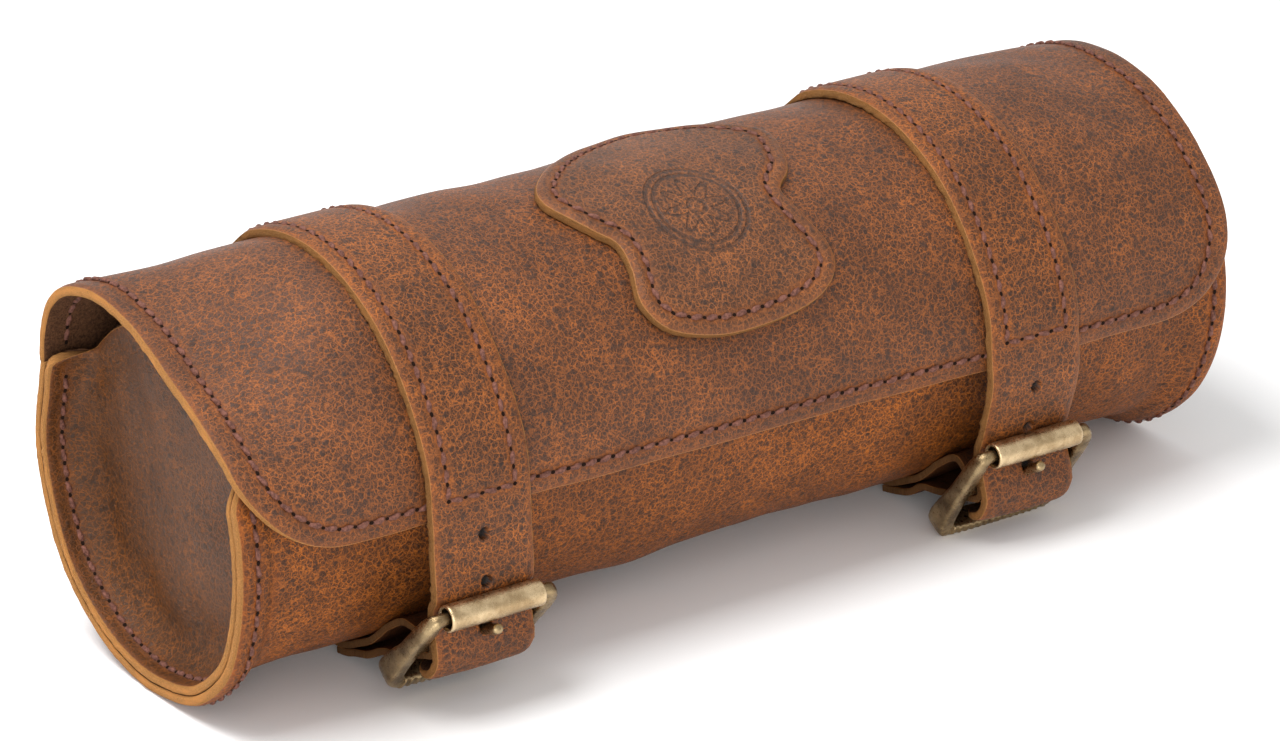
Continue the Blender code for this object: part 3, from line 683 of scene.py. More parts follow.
def make_strap(side, looks, threads):
    line = strap_line(side)
    place, length = line_place(line)
    holes = strap_holes(side, line)
    extra = [np.linspace(-3.2, 3.2, 19) + spot for spot, _, _ in holes]
    body = length - STRAP_TIP
    levels = np.unique(np.round(np.concatenate([np.arange(0.0, body, 1.1), *extra]), 2))
    levels = levels[(levels >= 0.0) & (levels < body)]
    turns = np.radians(np.linspace(0.0, 88.0, 16))
    levels = np.concatenate([levels, body + STRAP_TIP * np.sin(turns)])
    across = np.concatenate([np.linspace(-1.0, -0.26, 13), np.linspace(-0.235, 0.235, 19),
                             np.linspace(0.26, 1.0, 13)])
    v, share = np.meshgrid(levels, across, indexing="ij")
    left = length - v
    round_tip = np.sqrt(np.maximum(STRAP_TIP**2 - (STRAP_TIP - left) ** 2, 0.0))
    half = STRAP_HALF_WIDTH - np.where(left < STRAP_TIP, STRAP_TIP - round_tip, 0.0)
    x = share * half
    edge = np.minimum(half - np.abs(x), np.minimum(v, left))
    stop = nearest_length(line, polar(0.0, STRAP_OUTSIDE, STRAP_STITCH_END)[1:])
    ends = ((-1, 3.0), (-1, stop), (1, stop), (1, 3.0))
    corners = [(sign * STRAP_SEAM_X, along) for sign, along in ends]
    seam = distance_to_line(x, v, np.array(corners))
    pit = np.zeros_like(x)
    for spot, long_half, cross_half in holes:
        reach = np.sqrt(((v - spot) / long_half) ** 2 + (x / cross_half) ** 2)
        pit = np.maximum(pit, smooth((1.12 - reach) / 0.24))
    sway = strap_sway(x, v)
    skived = 1.4 * smooth(1.0 - v / 13.0)
    height = relief(seam, edge) + sway - 1.9 * pit + 0.25 * smooth(edge / 3.0) - skived
    outer = place(x + side["x"], v, height)
    inner = place(x + side["x"], v, sway - STRAP_THICKNESS)
    word = side["word"]
    flat = layered(x, v, STRAP_LAYER)
    name = f"strap_leather_{word}"
    strap = leather_sheet(name, outer, inner, looks, flat, seam, edge, fuzz=0.13)
    # The pit attribute also darkens the holes to near black in the grain material, as painted shade
    values = np.zeros(len(strap.data.vertices), np.float32)
    values[: pit.size] = pit.ravel()
    strap.data.attributes.new("pit", "FLOAT", "POINT").data.foreach_set("value", values)
    ride_on(strap, "lid", [f"strap_{word}"])

    def stitch_place(u, along, up):
        return place(u + side["x"], along, up + strap_sway(u, along))

    rows = list(zip(corners, corners[1:]))
    sew(f"strap_stitches_{word}", "lid", [f"strap_thread_{word}"], rows, stitch_place, threads,
        lift=0.04, seed=9)


def gusset_profiles():
    """Depths along the flange and how far it turns in there, then the face's depths and radii."""
    depths = np.array([0.1, 1.2, 2.6, 4.2, 6.0, 7.6, 8.9, 9.9, 10.6])
    shrink = np.array([0.0, 0.0, 0.0, 0.1, 0.4, 1.0, 1.9, 3.1, 4.8])
    face_depth = np.array([10.9, 10.9, 10.7, 10.4, 10.1, 9.8, 9.6])
    face_radius = np.array([42.0, 38.5, 32.0, 25.0, 17.0, 9.0, 1.5])
    return depths, shrink, face_depth, face_radius


def make_gusset(side, looks, threads):
    sign = side["end"]
    word = side["word"]
    depths, shrink, face_depth, face_radius = gusset_profiles()
    angles = np.linspace(-205.0, 155.0, 241)[:-1]
    below = smooth((46.0 - angles) / 12.0)
    back = smooth((angles - 143.0) / 9.0)
    sewn = np.maximum(below, back)
    free = by_angle(GUSSET_EDGE, np.clip(angles, 30.0, 155.0))
    rows = []
    for angle, weight, edge_radius in zip(angles, sewn, free):
        wall_angle = angle if angle <= 46.0 else max(angle - 360.0, -HINGE_TURN)
        wall_angle = min(wall_angle, WALL_FRONT)
        rim = wall_radius(np.array(sign * (HALF_LENGTH - depths)), wall_angle)
        sewn_radius = rim - WALL - 0.2 - GUSSET_THICKNESS - shrink
        flat_depth = 10.2 + 0.05 * np.arange(len(depths))
        flat_radius = edge_radius - 0.42 * np.arange(len(depths))
        recess = rim_recess(angle) * (sign < 0 and angle < 60.0)
        turned_in = recess + depths * (1.0 - recess / 12.0)
        depth = flat_depth + (turned_in - flat_depth) * weight
        radius = flat_radius + (sewn_radius - flat_radius) * weight
        scale = radius[-1] / 43.4
        depth = np.concatenate([depth, face_depth])
        radius = np.concatenate([radius, face_radius * scale * 0.985])
        rows.append(polar(sign * (HALF_LENGTH - depth), radius, angle))
    outer = np.array(rows)
    outer[..., 2] = np.maximum(outer[..., 2], -AXIS_Z + WALL + 2.8)
    flat = np.stack([outer[..., 1], outer[..., 2], outer[..., 0] * 0.8 + GUSSET_LAYER], -1)
    face = smooth((np.abs(outer[..., 0]) * -1 + HALF_LENGTH - 8.0) / 2.5)
    outer[..., 0] += (0.5 * waves(flat, 30.0, 41) + 0.25 * waves(flat, 13.0, 42)) * face
    normal = normals_of(outer)
    normal *= 1.0 if normal[0, -2, 0] * sign > 0 else -1.0
    inner = outer - normal * GUSSET_THICKNESS
    lengths = np.cumsum(np.linalg.norm(np.diff(outer, axis=1), axis=2), axis=1)
    edge = np.concatenate([np.zeros((len(outer), 1)), lengths], 1)
    seam = np.abs(edge - GUSSET_SEAM) + 20.0 * (1.0 - sewn[:, None])
    outer += normal * relief(seam, edge, 0.3, 0.3)[..., None]
    name = f"gusset_leather_{word}"
    # Painted shade on the raw edge of the unsewn rows, whose free edge lies deep inside the case
    unsewn_painted_shade = np.repeat(1.0 - sewn[:, None], outer.shape[1], axis=1)
    gusset = leather_sheet(name, outer, inner, looks, flat, seam, edge, wrap=True, dark=unsewn_painted_shade)
    ride_on(gusset, "case", [f"gusset_{word}"])

    def place(u, v, up):
        """Point on the gusset: u is the arc from its first row, v the length in from its edge."""
        index = np.clip(u / MM_PER_ROW, 0, len(outer) - 1.001)
        low = index.astype(int)
        part = (index - low)[:, None]
        column = np.array([np.interp(value, edge[i], np.arange(edge.shape[1]))
                           for value, i in zip(v, low)])
        left = column.astype(int)
        across = (column - left)[:, None]
        right = np.minimum(left + 1, outer.shape[1] - 1)
        near = np.minimum(low + 1, len(outer) - 1)

        def pick(grid):
            first = grid[low, left] * (1 - across) + grid[low, right] * across
            second = grid[near, left] * (1 - across) + grid[near, right] * across
            return first * (1 - part) + second * part

        return pick(outer) + pick(normal) * np.asarray(up)[:, None]

    last = np.argmax(angles > 36.0) * MM_PER_ROW
    row = [(2.0, GUSSET_SEAM), (last, GUSSET_SEAM)]
    sew(f"gusset_stitches_{word}", "case", [f"gusset_thread_{word}"], [row], place, threads,
        lift=0.14, slant=0.2, seed=13)


def make_wall_stitches(threads):
    for word, side in SIDES.items():
        x = side["end"] * (HALF_LENGTH - WALL_SEAM)
        row = [(x, np.radians(38.0) * BODY), (x, np.radians(-203.0) * BODY)]
        sew(f"wall_stitches_{word}", "case", (), [row], wall_stitch, threads,
            lift=0.0, slant=0.2, seed=17)


def lid_inside(u, v, height):
    return lid_place(u, v, -LID_THICKNESS - np.asarray(height))


def make_lid_stitches(threads):
    line = lid_outline(LID_SEAM_SIDE, LID_SEAM_FRONT, 150.0)
    sew("lid_stitches", "lid_bend", ["lid_edge_thread"], [line], lid_place, threads,
        lift=0.14, seed=21)
    sew("lid_inside_stitches", "lid_bend", (), [line], lid_inside, threads, lift=0.12, seed=22)


def billet_line(side):
    """Centre line of the billet's loop as (y, z): up along the case, round the centre bar, back."""
    near, far = BODY + BILLET_LIFT + 1.0, BODY + BILLET_LIFT + 3.2
    upper = [polar(0.0, near, angle)[1:] for angle in (-87, -80, -73, -66, -58, -50, -43)]
    middle = strap_axes(side)[0]
    arch = polar(0.0, 51.2, -34.5)[1:]
    round_bar = ((2.9, 62.0), (2.5, 100.0), (2.5, 150.0), (2.5, 200.0), (2.5, 240.0))
    bend = [middle + reach * np.array([math.cos(t), math.sin(t)])
            for reach, t in ((reach, math.radians(turn)) for reach, turn in round_bar)]
    leave = middle + np.array([2.6, -3.4])
    lifts = ((-55, 1.2), (-61, 0.3), (-67, 0.0), (-72, 0.0), (-77, -0.3))
    lower = [polar(0.0, far + lift, angle)[1:] for angle, lift in lifts]
    return resampled(catmull([*upper, arch, *bend, leave, *lower], 260), 0.8)


def make_billet(side, looks, threads):
    word = side["word"]
    line = billet_line(side)
    place, length = line_place(line, -1.0)
    fold = nearest_length(line, strap_axes(side)[0] + np.array([-2.5, 0.5]))
    across = np.linspace(-BILLET_HALF_WIDTH, BILLET_HALF_WIDTH, 34)
    v, x = np.meshgrid(np.arange(0.0, length, 0.8), across, indexing="ij")
    flat = layered(x, v, BILLET_LAYER)
    sway = 0.25 * waves(flat, 12.0, 51)
    points = place(x + side["x"], v, sway).reshape(-1, 3)
    faces = []
    for face in quads(*x.shape):
        middle_x = x.ravel()[list(face)].mean()
        middle_v = v.ravel()[list(face)].mean()
        if abs(middle_x) > 3.0 or abs(middle_v - fold) > 7.5:
            faces.append(face)
    edge = BILLET_HALF_WIDTH - np.abs(x)
    attributes = {"rest": flat.reshape(-1, 3), "edge": edge.ravel(), "seam": np.full(x.size, 9.0)}
    billet = mesh_object(f"billet_leather_{word}", points, faces, looks, None, attributes)
    solid = billet.modifiers.new("thickness", "SOLIDIFY")
    solid.thickness = 0.0019
    solid.offset = 0.0
    solid.use_even_offset = True
    solid.material_offset_rim = 1
    bevel = billet.modifiers.new("edges", "BEVEL")
    bevel.width = 0.0004
    bevel.segments = 2
    bevel.limit_method = "ANGLE"
    ride_on(billet, "case", [f"billet_{word}"])

    def stitch_place(u, along, up):
        angle = np.degrees(along / 50.0)
        return polar(u + side["x"], BODY + BILLET_LIFT + 4.3 + np.asarray(up), angle)

    arc = math.radians(-67.0) * 50.0
    sew(f"billet_stitches_{word}", "case", [f"billet_thread_{word}"], [[(-10.0, arc), (10.0, arc)]],
        stitch_place, threads, lift=0.1, seed=25)


# Brass


def section_points(side, x, a, b):
    spot = on_buckle(side, a, b)
    return np.array([side["x"] + x, spot[0], spot[1]])


def brass_piece(kind, side, points, faces, look, node=None):
    """Makes one piece of a buckle, which rides on its body and stands for the CAD node."""
    word = side["word"]
    obj = mesh_object(f"{kind}_brass_{word}", points, faces, [look], None, {"rest": points})
    ride_on(obj, f"{kind}_{word}", [f"{node or kind}_{word}"])


def frame_stations():
    """(x, a, half depth, half width, depth offset) round the cast frame, from its front bar."""
    right = [
        (6.0, FRONT_BAR, 1.6, 1.6, 0.0), (12.6, FRONT_BAR, 1.6, 1.6, 0.0),
        (14.9, -14.55, 1.7, 1.7, 0.0),
        (16.3, -13.9, 2.0, 1.9, 0.0), (17.0, -12.0, 2.2, 2.1, 0.0), (17.2, -8.5, 2.3, 2.2, -0.1),
        (17.3, -4.0, 2.3, 2.2, -0.3), (17.3, 0.5, 2.4, 2.1, -0.6), (17.3, 5.0, 2.8, 2.1, -1.0),
        (17.2, 9.5, 3.2, 2.1, -1.3), (16.9, 12.6, 3.4, 2.3, -1.4), (15.8, 14.8, 3.4, 2.4, -1.3),
        (13.4, 15.7, 3.3, 2.2, -1.0), (7.0, 15.9, 3.2, 2.1, -0.8),
    ]
    middle = [(0.0, 16.0, 3.2, 2.1, -0.7)]
    left = [(-x, a, d, w, o) for x, a, d, w, o in right[::-1]]
    return np.array(right + middle + left + [(0.0, FRONT_BAR, 1.6, 1.6, 0.0)])


def make_frame(side, look):
    stations = catmull(frame_stations(), 380, closed=True)
    sides = 24
    points = []
    centres = np.array([section_points(side, x, a, 0.0) for x, a, _, _, _ in stations])
    outward = np.array([0.0, *strap_axes(side)[2]])
    count = len(stations)
    turns = ring_turns(sides)
    cosines, sines = np.cos(turns), np.sin(turns)
    crown = smooth((cosines - 0.3) / 0.4) * smooth((0.9 - np.abs(sines)) / 0.2)
    for i, (x, a, depth, width, shift) in enumerate(stations):
        run = centres[(i + 1) % count] - centres[i - 1]
        lateral = np.cross(outward, run / np.linalg.norm(run))
        power = 0.45 + 0.45 * float(smooth((2.6 - depth) / 1.0))
        up = np.sign(cosines) * np.abs(cosines) ** power * depth + shift
        ridge = max(math.sin(2.0 * math.pi * x / 2.1), -0.2) * float(smooth((a - 14.6) / 0.6))
        up = up + 0.28 * ridge * crown
        out = np.sign(sines) * np.abs(sines) ** power * width
        points.append(centres[i] + np.outer(up, outward) + np.outer(out, lateral))
    flat = np.vstack(points)
    flat = flat + 0.03 * waves(flat, 5.0, 61)[:, None] * np.array([0.6, 1.0, 1.0])
    # The heel bar of a low buckle is flattened where it would pass through the floor
    flat[:, 2] = np.maximum(flat[:, 2], 0.1 - AXIS_Z)
    ends = [section_points(side, x, 0.0, 0.0) for x in (-17.0, 17.0)]
    bar_points, bar_faces = bar_mesh(*ends, 1.2, len(flat))
    faces = tube_faces(count, sides, closed=True) + bar_faces
    brass_piece("buckle", side, np.vstack([flat, bar_points]), faces, look, "buckle_frame")


def bar_mesh(start, end, radius, offset, rings=14, sides=16):
    """Points of a straight round bar, and its faces when offset points come before it."""
    axis = (end - start) / np.linalg.norm(end - start)
    first = np.cross(axis, (0.0, 0.3, 1.0))
    first /= np.linalg.norm(first)
    second = np.cross(axis, first)
    turns = ring_turns(sides)
    ring = radius * (np.outer(np.cos(turns), first) + np.outer(np.sin(turns), second))
    points = [start + (end - start) * t + ring for t in np.linspace(0.0, 1.0, rings)]
    return np.vstack(points), tube_faces(rings, sides, offset)


def make_roller(side, look):
    """Rolled sheet tube with rounded lips, open at both ends."""
    middle = on_buckle(side, FRONT_BAR, 0.0)
    profile = [(-13.0, 2.55), (-13.45, 2.7), (-13.5, 3.0), (-13.4, 3.28), (-13.0, 3.4)]
    outer = [(x, 3.4) for x in np.linspace(-12.4, 12.4, 26)]
    inner = [(x, 2.6) for x in np.linspace(12.4, -12.4, 8)]
    line = profile + outer + [(-x, r) for x, r in profile[::-1]] + inner
    sides = 56
    turns = ring_turns(sides)
    points = []
    for x, radius in line:
        y, z = middle[0] + radius * np.cos(turns), middle[1] + radius * np.sin(turns)
        points.append(np.stack([np.full(sides, side["x"] + x), y, z], 1))
    points = np.vstack(points)
    points[:, 1:] += 0.02 * waves(points, 7.0, 71)[:, None]
    brass_piece("roller", side, points, tube_faces(len(line), sides, closed=True), look)


def make_prong(side, look):
    """Prong with a flat loop round the centre bar and a round tip lying on the roller."""
    route = catmull([(-1.6, 1.0), (-4.5, 1.8), (-8.0, 3.0), (-10.6, 4.5), (-12.6, 5.3)], 30)
    sides = 16
    points = []
    normal_x = np.array([1.0, 0.0, 0.0])
    spots = np.array([section_points(side, 0.0, a, b) for a, b in route])
    runs = np.gradient(spots, axis=0)
    turns = ring_turns(sides)
    for i, (spot, run) in enumerate(zip(spots, runs)):
        up = np.cross(run / np.linalg.norm(run), normal_x)
        t = i / (len(spots) - 1)
        size = 1.45 - 0.15 * t
        size *= math.sqrt(max(1.0 - max((t - 0.88) / 0.125, 0.0) ** 2, 0.02))
        oval = np.outer(np.cos(turns), normal_x) * 1.1 + np.outer(np.sin(turns), up)
        points.append(spot + size * oval)
    middle = strap_axes(side)[0]
    ring = ((-2.0, 1.75), (-2.1, 2.2), (-1.7, 2.75), (0.0, 2.85), (1.7, 2.75), (2.1, 2.2),
            (2.0, 1.75), (0.0, 1.7))
    loop_rings = 28
    for turn in ring_turns(loop_rings):
        for x, radius in ring:
            y, z = middle[0] + radius * math.cos(turn), middle[1] + radius * math.sin(turn)
            points.append([[side["x"] + x, y, z]])
    faces = tube_faces(len(spots), sides)
    faces += tube_faces(loop_rings, len(ring), len(spots) * sides, closed=True)
    brass_piece("prong", side, np.vstack(points), faces, look)


# Materials


def put(tree, kind, inputs=None, **settings):
    """Adds a shader node. Inputs are sockets to join or values to set."""
    node = tree.nodes.new("ShaderNode" + kind)
    for key, value in settings.items():
        setattr(node, key, value)
    for key, value in (inputs or {}).items():
        if isinstance(value, bpy.types.NodeSocket):
            tree.links.new(value, node.inputs[key])
        else:
            node.inputs[key].default_value = value
    return node


def new_material(name, roughness, **plain):
    made = bpy.data.materials.new(name)
    made.use_nodes = True
    shader = made.node_tree.nodes["Principled BSDF"]
    shader.inputs["Roughness"].default_value = roughness
    for key, value in plain.items():
        shader.inputs[key.replace("_", " ")].default_value = value
    return made, shader


def attribute(shader, name, output="Fac"):
    return put(shader.id_data, "Attribute", attribute_name=name).outputs[output]


def join(value, shader, key):
    shader.id_data.links.new(value, shader.inputs[key])


def tree_of(*values):
    """The node tree of the first of these values that is a socket."""
    return next(v.id_data for v in values if isinstance(v, bpy.types.NodeSocket))


def maths(operation, first, second=0.0):
    tree = tree_of(first, second)
    return put(tree, "Math", {0: first, 1: second}, operation=operation).outputs[0]


def times(first, second):
    return maths("MULTIPLY", first, second)


def plus(first, second):
    return maths("ADD", first, second)


def band(value, low, high, start=0.0, end=1.0):
    """Smooth step of a value between two levels."""
    inputs = {"Value": value, "From Min": low, "From Max": high, "To Min": start, "To Max": end}
    return put(value.id_data, "MapRange", inputs, interpolation_type="SMOOTHSTEP").outputs[0]


def mixed(share, first, second, blend_type="MIX"):
    tree = tree_of(share, first, second)
    node = put(tree, "Mix", {0: share}, data_type="RGBA", blend_type=blend_type)
    for key, value in ((6, first), (7, second)):
        if isinstance(value, bpy.types.NodeSocket):
            tree.links.new(value, node.inputs[key])
        else:
            node.inputs[key].default_value = (*value, 1.0)
    return node.outputs[2]


def noise(vector, scale, detail=3.0, roughness=0.55, output="Fac"):
    inputs = {"Vector": vector, "Scale": scale, "Detail": detail, "Roughness": roughness}
    return put(vector.id_data, "TexNoise", inputs).outputs[output]


def vectors(operation, inputs):
    return put(inputs[0].id_data, "VectorMath", inputs, operation=operation).outputs[0]


def warped(vector, scale, amount, detail=2.0):
    """The vector pushed about by noise."""
    push = noise(vector, scale, detail, 0.6, "Color")
    centred = vectors("SUBTRACT", {0: push, 1: (0.5, 0.5, 0.5)})
    scaled = vectors("SCALE", {0: centred, "Scale": amount})
    return vectors("ADD", {0: vector, 1: scaled})


def cells(vector, scale, feature):
    inputs = {"Vector": vector, "Scale": scale, "Randomness": 1.0}
    return put(vector.id_data, "TexVoronoi", inputs, feature=feature).outputs["Distance"]


def bump(shader, height, distance):
    inputs = {"Height": height, "Distance": distance, "Strength": 1.0}
    join(put(shader.id_data, "Bump", inputs).outputs[0], shader, "Normal")


# base, fibre, blot and halo colours, then roughness and specular level
LEATHERS = {
    "grain": (
        (0.058, 0.0195, 0.0066), (0.3, 0.086, 0.014), (0.034, 0.016, 0.0095),
        (0.23, 0.064, 0.012), 0.44, 0.34,
    ),
    "strap": (
        (0.056, 0.018, 0.005), (0.35, 0.1, 0.014), (0.028, 0.0125, 0.0065),
        (0.29, 0.08, 0.012), 0.45, 0.32,
    ),
    # orange, the body's leather: more orange than the lid's as its own colour, and paler too as
    # painted light standing for light bounced up from the floor
    "orange": (
        (0.076, 0.022, 0.0048), (0.4, 0.11, 0.011), (0.032, 0.012, 0.0045),
        (0.3, 0.074, 0.008), 0.52, 0.28,
    ),
    "olive": (
        (0.056, 0.02, 0.0045), (0.19, 0.056, 0.007), (0.034, 0.0135, 0.0042),
        (0.16, 0.044, 0.006), 0.42, 0.28,
    ),
    "burnished": (
        (0.064, 0.024, 0.0095), (0.29, 0.09, 0.019), (0.028, 0.0145, 0.009),
        (0.28, 0.08, 0.014), 0.4, 0.34,
    ),
    # The billets' look: a darker copy of the straps' leather, painted shade because they lie in
    # shadow between the case and the straps
    "painted_shade": (
        (0.038, 0.0125, 0.004), (0.13, 0.038, 0.006), (0.02, 0.008, 0.0035),
        (0.11, 0.032, 0.006), 0.6, 0.2,
    ),
}


def ornament(place):
    """Plain pressed rosette in the middle of the patch: two rings and a ring of petals."""
    centre = (PATCH_CENTRE[0], PATCH_CENTRE[1] * MM_PER_DEGREE, 40.0)
    tree = place.id_data
    spot = vectors("SUBTRACT", {0: place, 1: centre})
    reach = put(tree, "VectorMath", {0: spot}, operation="LENGTH").outputs["Value"]
    split = put(tree, "SeparateXYZ", {0: spot})
    turn = maths("ARCTAN2", split.outputs[1], split.outputs[0])
    petals = maths("COSINE", times(turn, 8.0))
    lines = [(11.0, 0.0), (13.0, 0.0), (6.4, 2.4), (2.2, 0.0)]
    pressed = 0.0
    for radius, swing in lines:
        goal = plus(times(petals, swing), radius)
        gap = maths("ABSOLUTE", maths("SUBTRACT", reach, goal))
        pressed = maths("MAXIMUM", pressed, band(gap, 0.75, 0.25))
    return pressed


def grain_leather(name, look):
    """Waxed pull-up leather: dark wax blots in a net of bright fibres, paler where it is worn."""
    base, bright, dark, halo, roughness, specular = LEATHERS[look]
    made, shader = new_material(name, roughness, Specular_IOR_Level=specular)
    place = attribute(shader, "rest", "Vector")
    seam = attribute(shader, "seam")
    edge = attribute(shader, "edge")
    pit = attribute(shader, "pit")
    loose = warped(place, 0.8, 1.1, 2.0)
    curly = warped(loose, 2.2, 0.28, 1.0)
    cloud = noise(place, 0.036, 3.0, 0.6)
    patchy = noise(place, 0.13, 3.0, 0.6)
    blot_place = warped(place, 0.5, 1.2, 2.0)
    blot = cells(blot_place, 0.46, "F1")
    blot = band(blot, 0.46, 0.24)
    blot_some = band(noise(place, 0.33, 2.0), 0.40, 0.60)
    blot = times(blot, plus(times(blot_some, 0.75), 0.25))
    net = band(cells(curly, 0.66, "DISTANCE_TO_EDGE"), 0.13, 0.03)
    fine_net = band(cells(curly, 1.25, "DISTANCE_TO_EDGE"), 0.13, 0.03)
    fibre = maths("MAXIMUM", net, times(fine_net, 0.55))
    speck = noise(curly, 1.9, 4.0, 0.7)
    fibre = times(fibre, band(speck, 0.32, 0.58, 0.18, 1.0))
    fibre = times(fibre, band(patchy, 0.25, 0.75, 0.62, 1.1))
    wear = maths("MAXIMUM", band(seam, 2.6, 0.4, 0.0, 0.8), band(edge, 2.4, 0.2, 0.0, 0.75))
    wear = times(wear, band(noise(place, 0.55, 3.0), 0.25, 0.65, 0.35, 1.0))
    colour = mixed(speck, dark, base)
    colour = mixed(0.62, colour, base)
    colour = mixed(times(blot, 0.85), colour, dark)
    outside_blots = maths("SUBTRACT", 1.0, times(blot, 0.72))
    colour = mixed(times(fibre, outside_blots), colour, bright)
    colour = mixed(times(wear, 0.62), colour, halo)
    shade = band(cloud, 0.30, 0.72, 0.80, 1.20)
    grey = put(shade.id_data, "CombineXYZ", {0: shade, 1: shade, 2: shade}).outputs[0]
    colour = mixed(1.0, colour, grey, "MULTIPLY")
    # Painted shade: darker along the stitch groove
    groove = band(seam, 0.9, 0.25, 0.0, 0.35)
    colour = mixed(groove, colour, (0.03, 0.012, 0.008))
    # Painted shade: the strap's holes nearly black where the pit sinks
    colour = mixed(pit, colour, (0.012, 0.007, 0.005))
    if look == "burnished":
        pressed = ornament(place)
        colour = mixed(times(pressed, 0.55), colour, (0.022, 0.012, 0.008))
    lip = plus(edge, times(noise(place, 1.6, 3.0), 0.5))
    colour = mixed(band(lip, 0.55, 0.32, 0.0, 0.8), colour, (0.36, 0.145, 0.034))
    join(colour, shader, "Base Color")
    rough = plus(band(speck, 0.3, 0.7, -0.07, 0.10), roughness)
    rough = plus(rough, times(wear, 0.12))
    join(rough, shader, "Roughness")
    height = plus(times(fibre, -0.35), times(blot, 0.35))
    height = plus(height, times(noise(place, 3.2, 4.0, 0.65), 0.55))
    height = plus(height, times(patchy, 0.9))
    if look == "burnished":
        height = plus(height, times(pressed, -1.6))
    bump(shader, height, 0.00022)
    return made


def cut_leather(name, share):
    """Raw cut edge: pale fibres, darkened by share, which on the billets is painted shade, and, in
    places, by the shade attribute, which is painted shade on the gusset's free edge inside the
    case.
    """
    made, shader = new_material(name, 0.92, Specular_IOR_Level=0.15)
    place = attribute(shader, "rest", "Vector")
    fibres = noise(warped(place, 1.2, 1.0), 1.9, 5.0, 0.75)
    patchy = noise(place, 0.11, 3.0)
    colour = mixed(band(fibres, 0.33, 0.68), (0.370, 0.160, 0.044), (0.82, 0.385, 0.120))
    colour = mixed(band(patchy, 0.42, 0.7, 0.0, 0.7), colour, (0.82, 0.345, 0.095))
    colour = mixed(share, colour, (0.060, 0.026, 0.010))
    # Painted shade where the shade attribute is set: the gusset's free edge inside the case
    colour = mixed(times(attribute(shader, "shade"), 0.85), colour, (0.045, 0.018, 0.008))
    join(colour, shader, "Base Color")
    bump(shader, fibres, 0.0009)
    return made


def flesh_leather():
    """Flesh side: dark suede nap."""
    made, shader = new_material("leather_flesh", 0.95, Specular_IOR_Level=0.1)
    place = attribute(shader, "rest", "Vector")
    nap = noise(place, 1.6, 5.0, 0.75)
    colour = mixed(band(nap, 0.3, 0.7), (0.045, 0.020, 0.011), (0.165, 0.073, 0.034))
    join(colour, shader, "Base Color")
    bump(shader, nap, 0.0006)
    return made


def thread_look():
    made, shader = new_material("waxed_thread", 0.6, Specular_IOR_Level=0.3)
    place = attribute(shader, "rest", "Vector")
    strand = noise(place, 1.1, 4.0, 0.7)
    colour = mixed(band(strand, 0.3, 0.7), (0.075, 0.026, 0.018), (0.250, 0.098, 0.066))
    join(colour, shader, "Base Color")
    bump(shader, noise(place, 5.0, 3.0, 0.7), 0.00025)
    return made


# Painted shade: nearly black discs standing for the depth of the pricked holes, mottled by noise
def hole_look():
    made, shader = new_material("pricked_hole", 0.9, Specular_IOR_Level=0.1)
    place = attribute(shader, "rest", "Vector")
    hole_shade_mottle = noise(place, 3.0, 2.0)
    join(mixed(hole_shade_mottle, (0.004, 0.002, 0.001), (0.020, 0.009, 0.006)), shader, "Base Color")
    return made


def brass_look(name, bright, dark, rough):
    """Antique brass: bright where it is rubbed, brown tarnish in between, fine dark specks."""
    made, shader = new_material(name, rough, Metallic=1.0)
    place = attribute(shader, "rest", "Vector")
    tarnish = noise(warped(place, 0.3, 1.5), 0.16, 3.0, 0.6)
    specks = noise(place, 3.4, 3.0, 0.7)
    rubbed = put(shader.id_data, "NewGeometry").outputs["Pointiness"]
    rubbed = band(rubbed, 0.50, 0.56)
    share = maths("SUBTRACT", band(tarnish, 0.32, 0.66), times(rubbed, 0.8))
    share = put(shader.id_data, "Clamp", {0: share}).outputs[0]
    colour = mixed(share, bright, dark)
    colour = mixed(band(specks, 0.60, 0.72, 0.0, 0.75), colour, (0.06, 0.04, 0.022))
    join(colour, shader, "Base Color")
    scratch = noise(place, 1.4, 5.0, 0.7)
    level = plus(band(scratch, 0.3, 0.7, -0.08, 0.14), rough)
    join(level, shader, "Roughness")
    bump(shader, plus(specks, scratch), 0.00006)
    return made


# Stage


def make_floor():
    mesh = bpy.data.meshes.new("floor")
    z = CAD_BOX[0].z
    mesh.from_pydata([(-9, -9, z), (9, -9, z), (9, 9, z), (-9, 9, z)], [], [(0, 1, 2, 3)])
    floor = bpy.data.objects.new("floor", mesh)
    bpy.context.scene.collection.objects.link(floor)
    made, shader = new_material("pale_floor", 0.9, Specular_IOR_Level=0.1)
    shader.inputs["Base Color"].default_value = (0.97, 0.97, 0.97, 1.0)
    mesh.materials.append(made)
    floor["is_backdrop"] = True


def make_light(name, place, target, size, power):
    data = bpy.data.lights.new(name, "AREA")
    data.shape = "RECTANGLE"
    data.size, data.size_y = size
    data.energy = power
    lamp = bpy.data.objects.new(name, data)
    lamp.location = place
    aim = Vector(target) - Vector(place)
    lamp.rotation_mode = "QUATERNION"
    lamp.rotation_quaternion = aim.to_track_quat("-Z", "Y")
    bpy.context.scene.collection.objects.link(lamp)


def make_world(strength):
    world = bpy.data.worlds.new("studio")
    world.use_nodes = True
    background = world.node_tree.nodes["Background"]
    background.inputs["Color"].default_value = (1.0, 1.0, 1.0, 1.0)
    background.inputs["Strength"].default_value = strength
    bpy.context.scene.world = world


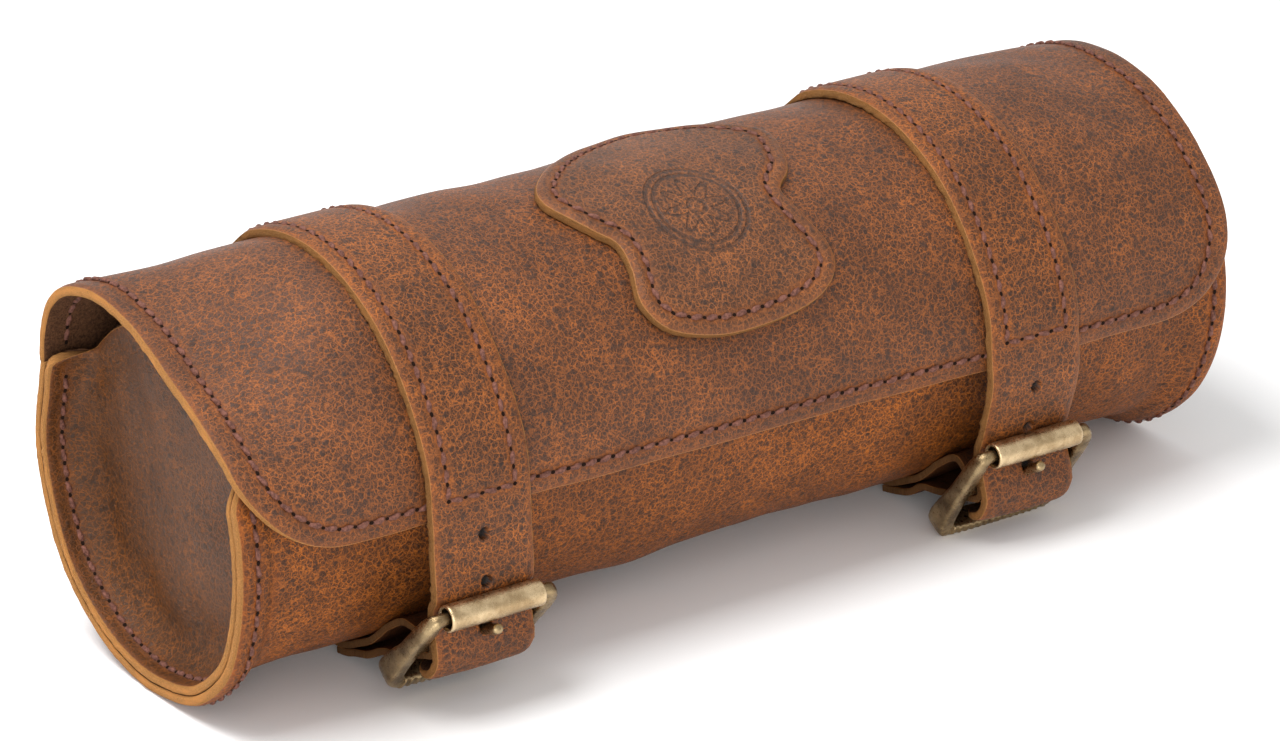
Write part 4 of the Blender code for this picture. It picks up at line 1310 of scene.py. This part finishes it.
def make_camera():
    data = bpy.data.cameras.new("camera")
    data.lens = 164.5
    data.sensor_width = 36.0
    data.clip_start = 0.01
    camera = bpy.data.objects.new("camera", data)
    place = Vector((-0.7888, AXIS_Y / 1000.0 - 1.1129, AXIS_Z / 1000.0 + 0.5769))
    back = Vector((-0.5309, -0.7517, 0.3912)).normalized()
    camera.location = place
    camera.rotation_mode = "QUATERNION"
    camera.rotation_quaternion = (-back).to_track_quat("-Z", "Y")
    bpy.context.scene.collection.objects.link(camera)
    bpy.context.scene.camera = camera


def main():
    bpy.context.scene.view_settings.view_transform = "Standard"
    make_camera()
    make_floor()
    make_world(0.80)
    make_light("key", (-0.50, 0.10, 1.3), (0.0, 0.0, 0.05), (0.9, 0.6), 17.0)
    make_light("front", (-1.1, -1.6, 0.5), (0.0, 0.0, 0.05), (1.2, 0.8), 14.0)
    cut, flesh = cut_leather("leather_cut_edge", 0.08), flesh_leather()
    worn = cut_leather("leather_worn_edge", 0.50)
    # Painted shade: the billets' darker leather and darker cut edges, as they lie in shadow between
    # the case and the straps
    dark = cut_leather("leather_painted_shade_edge", 0.86)
    grain = [grain_leather("leather_grain", "grain"), cut, flesh]
    orange = [grain_leather("leather_body", "orange"), cut, flesh]
    olive = [grain_leather("leather_end", "olive"), cut, flesh]
    burnished = [grain_leather("leather_patch", "burnished"), worn, flesh]
    strap = [grain_leather("leather_strap", "strap"), worn, flesh]
    painted_shade = [grain_leather("leather_painted_shade", "painted_shade"), dark, flesh]
    threads = [thread_look(), hole_look()]
    cast = brass_look("cast_brass", (0.40, 0.29, 0.155), (0.13, 0.082, 0.040), 0.30)
    rolled = brass_look("rolled_brass", (0.68, 0.51, 0.30), (0.38, 0.26, 0.135), 0.30)
    make_wall(orange)
    make_wall_stitches(threads)
    make_lid(grain)
    make_lid_stitches(threads)
    make_patch(burnished, threads)
    for side in SIDES.values():
        make_gusset(side, olive, threads)
        make_strap(side, strap, threads)
        make_billet(side, painted_shade, threads)
        make_frame(side, cast)
        make_roller(side, rolled)
        make_prong(side, cast)
    bpy.context.view_layer.update()
    boxes = {"cad": CAD_BOX, "visual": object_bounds()}
    boxes = {key: [list(corner) for corner in box] for key, box in boxes.items()}


main()
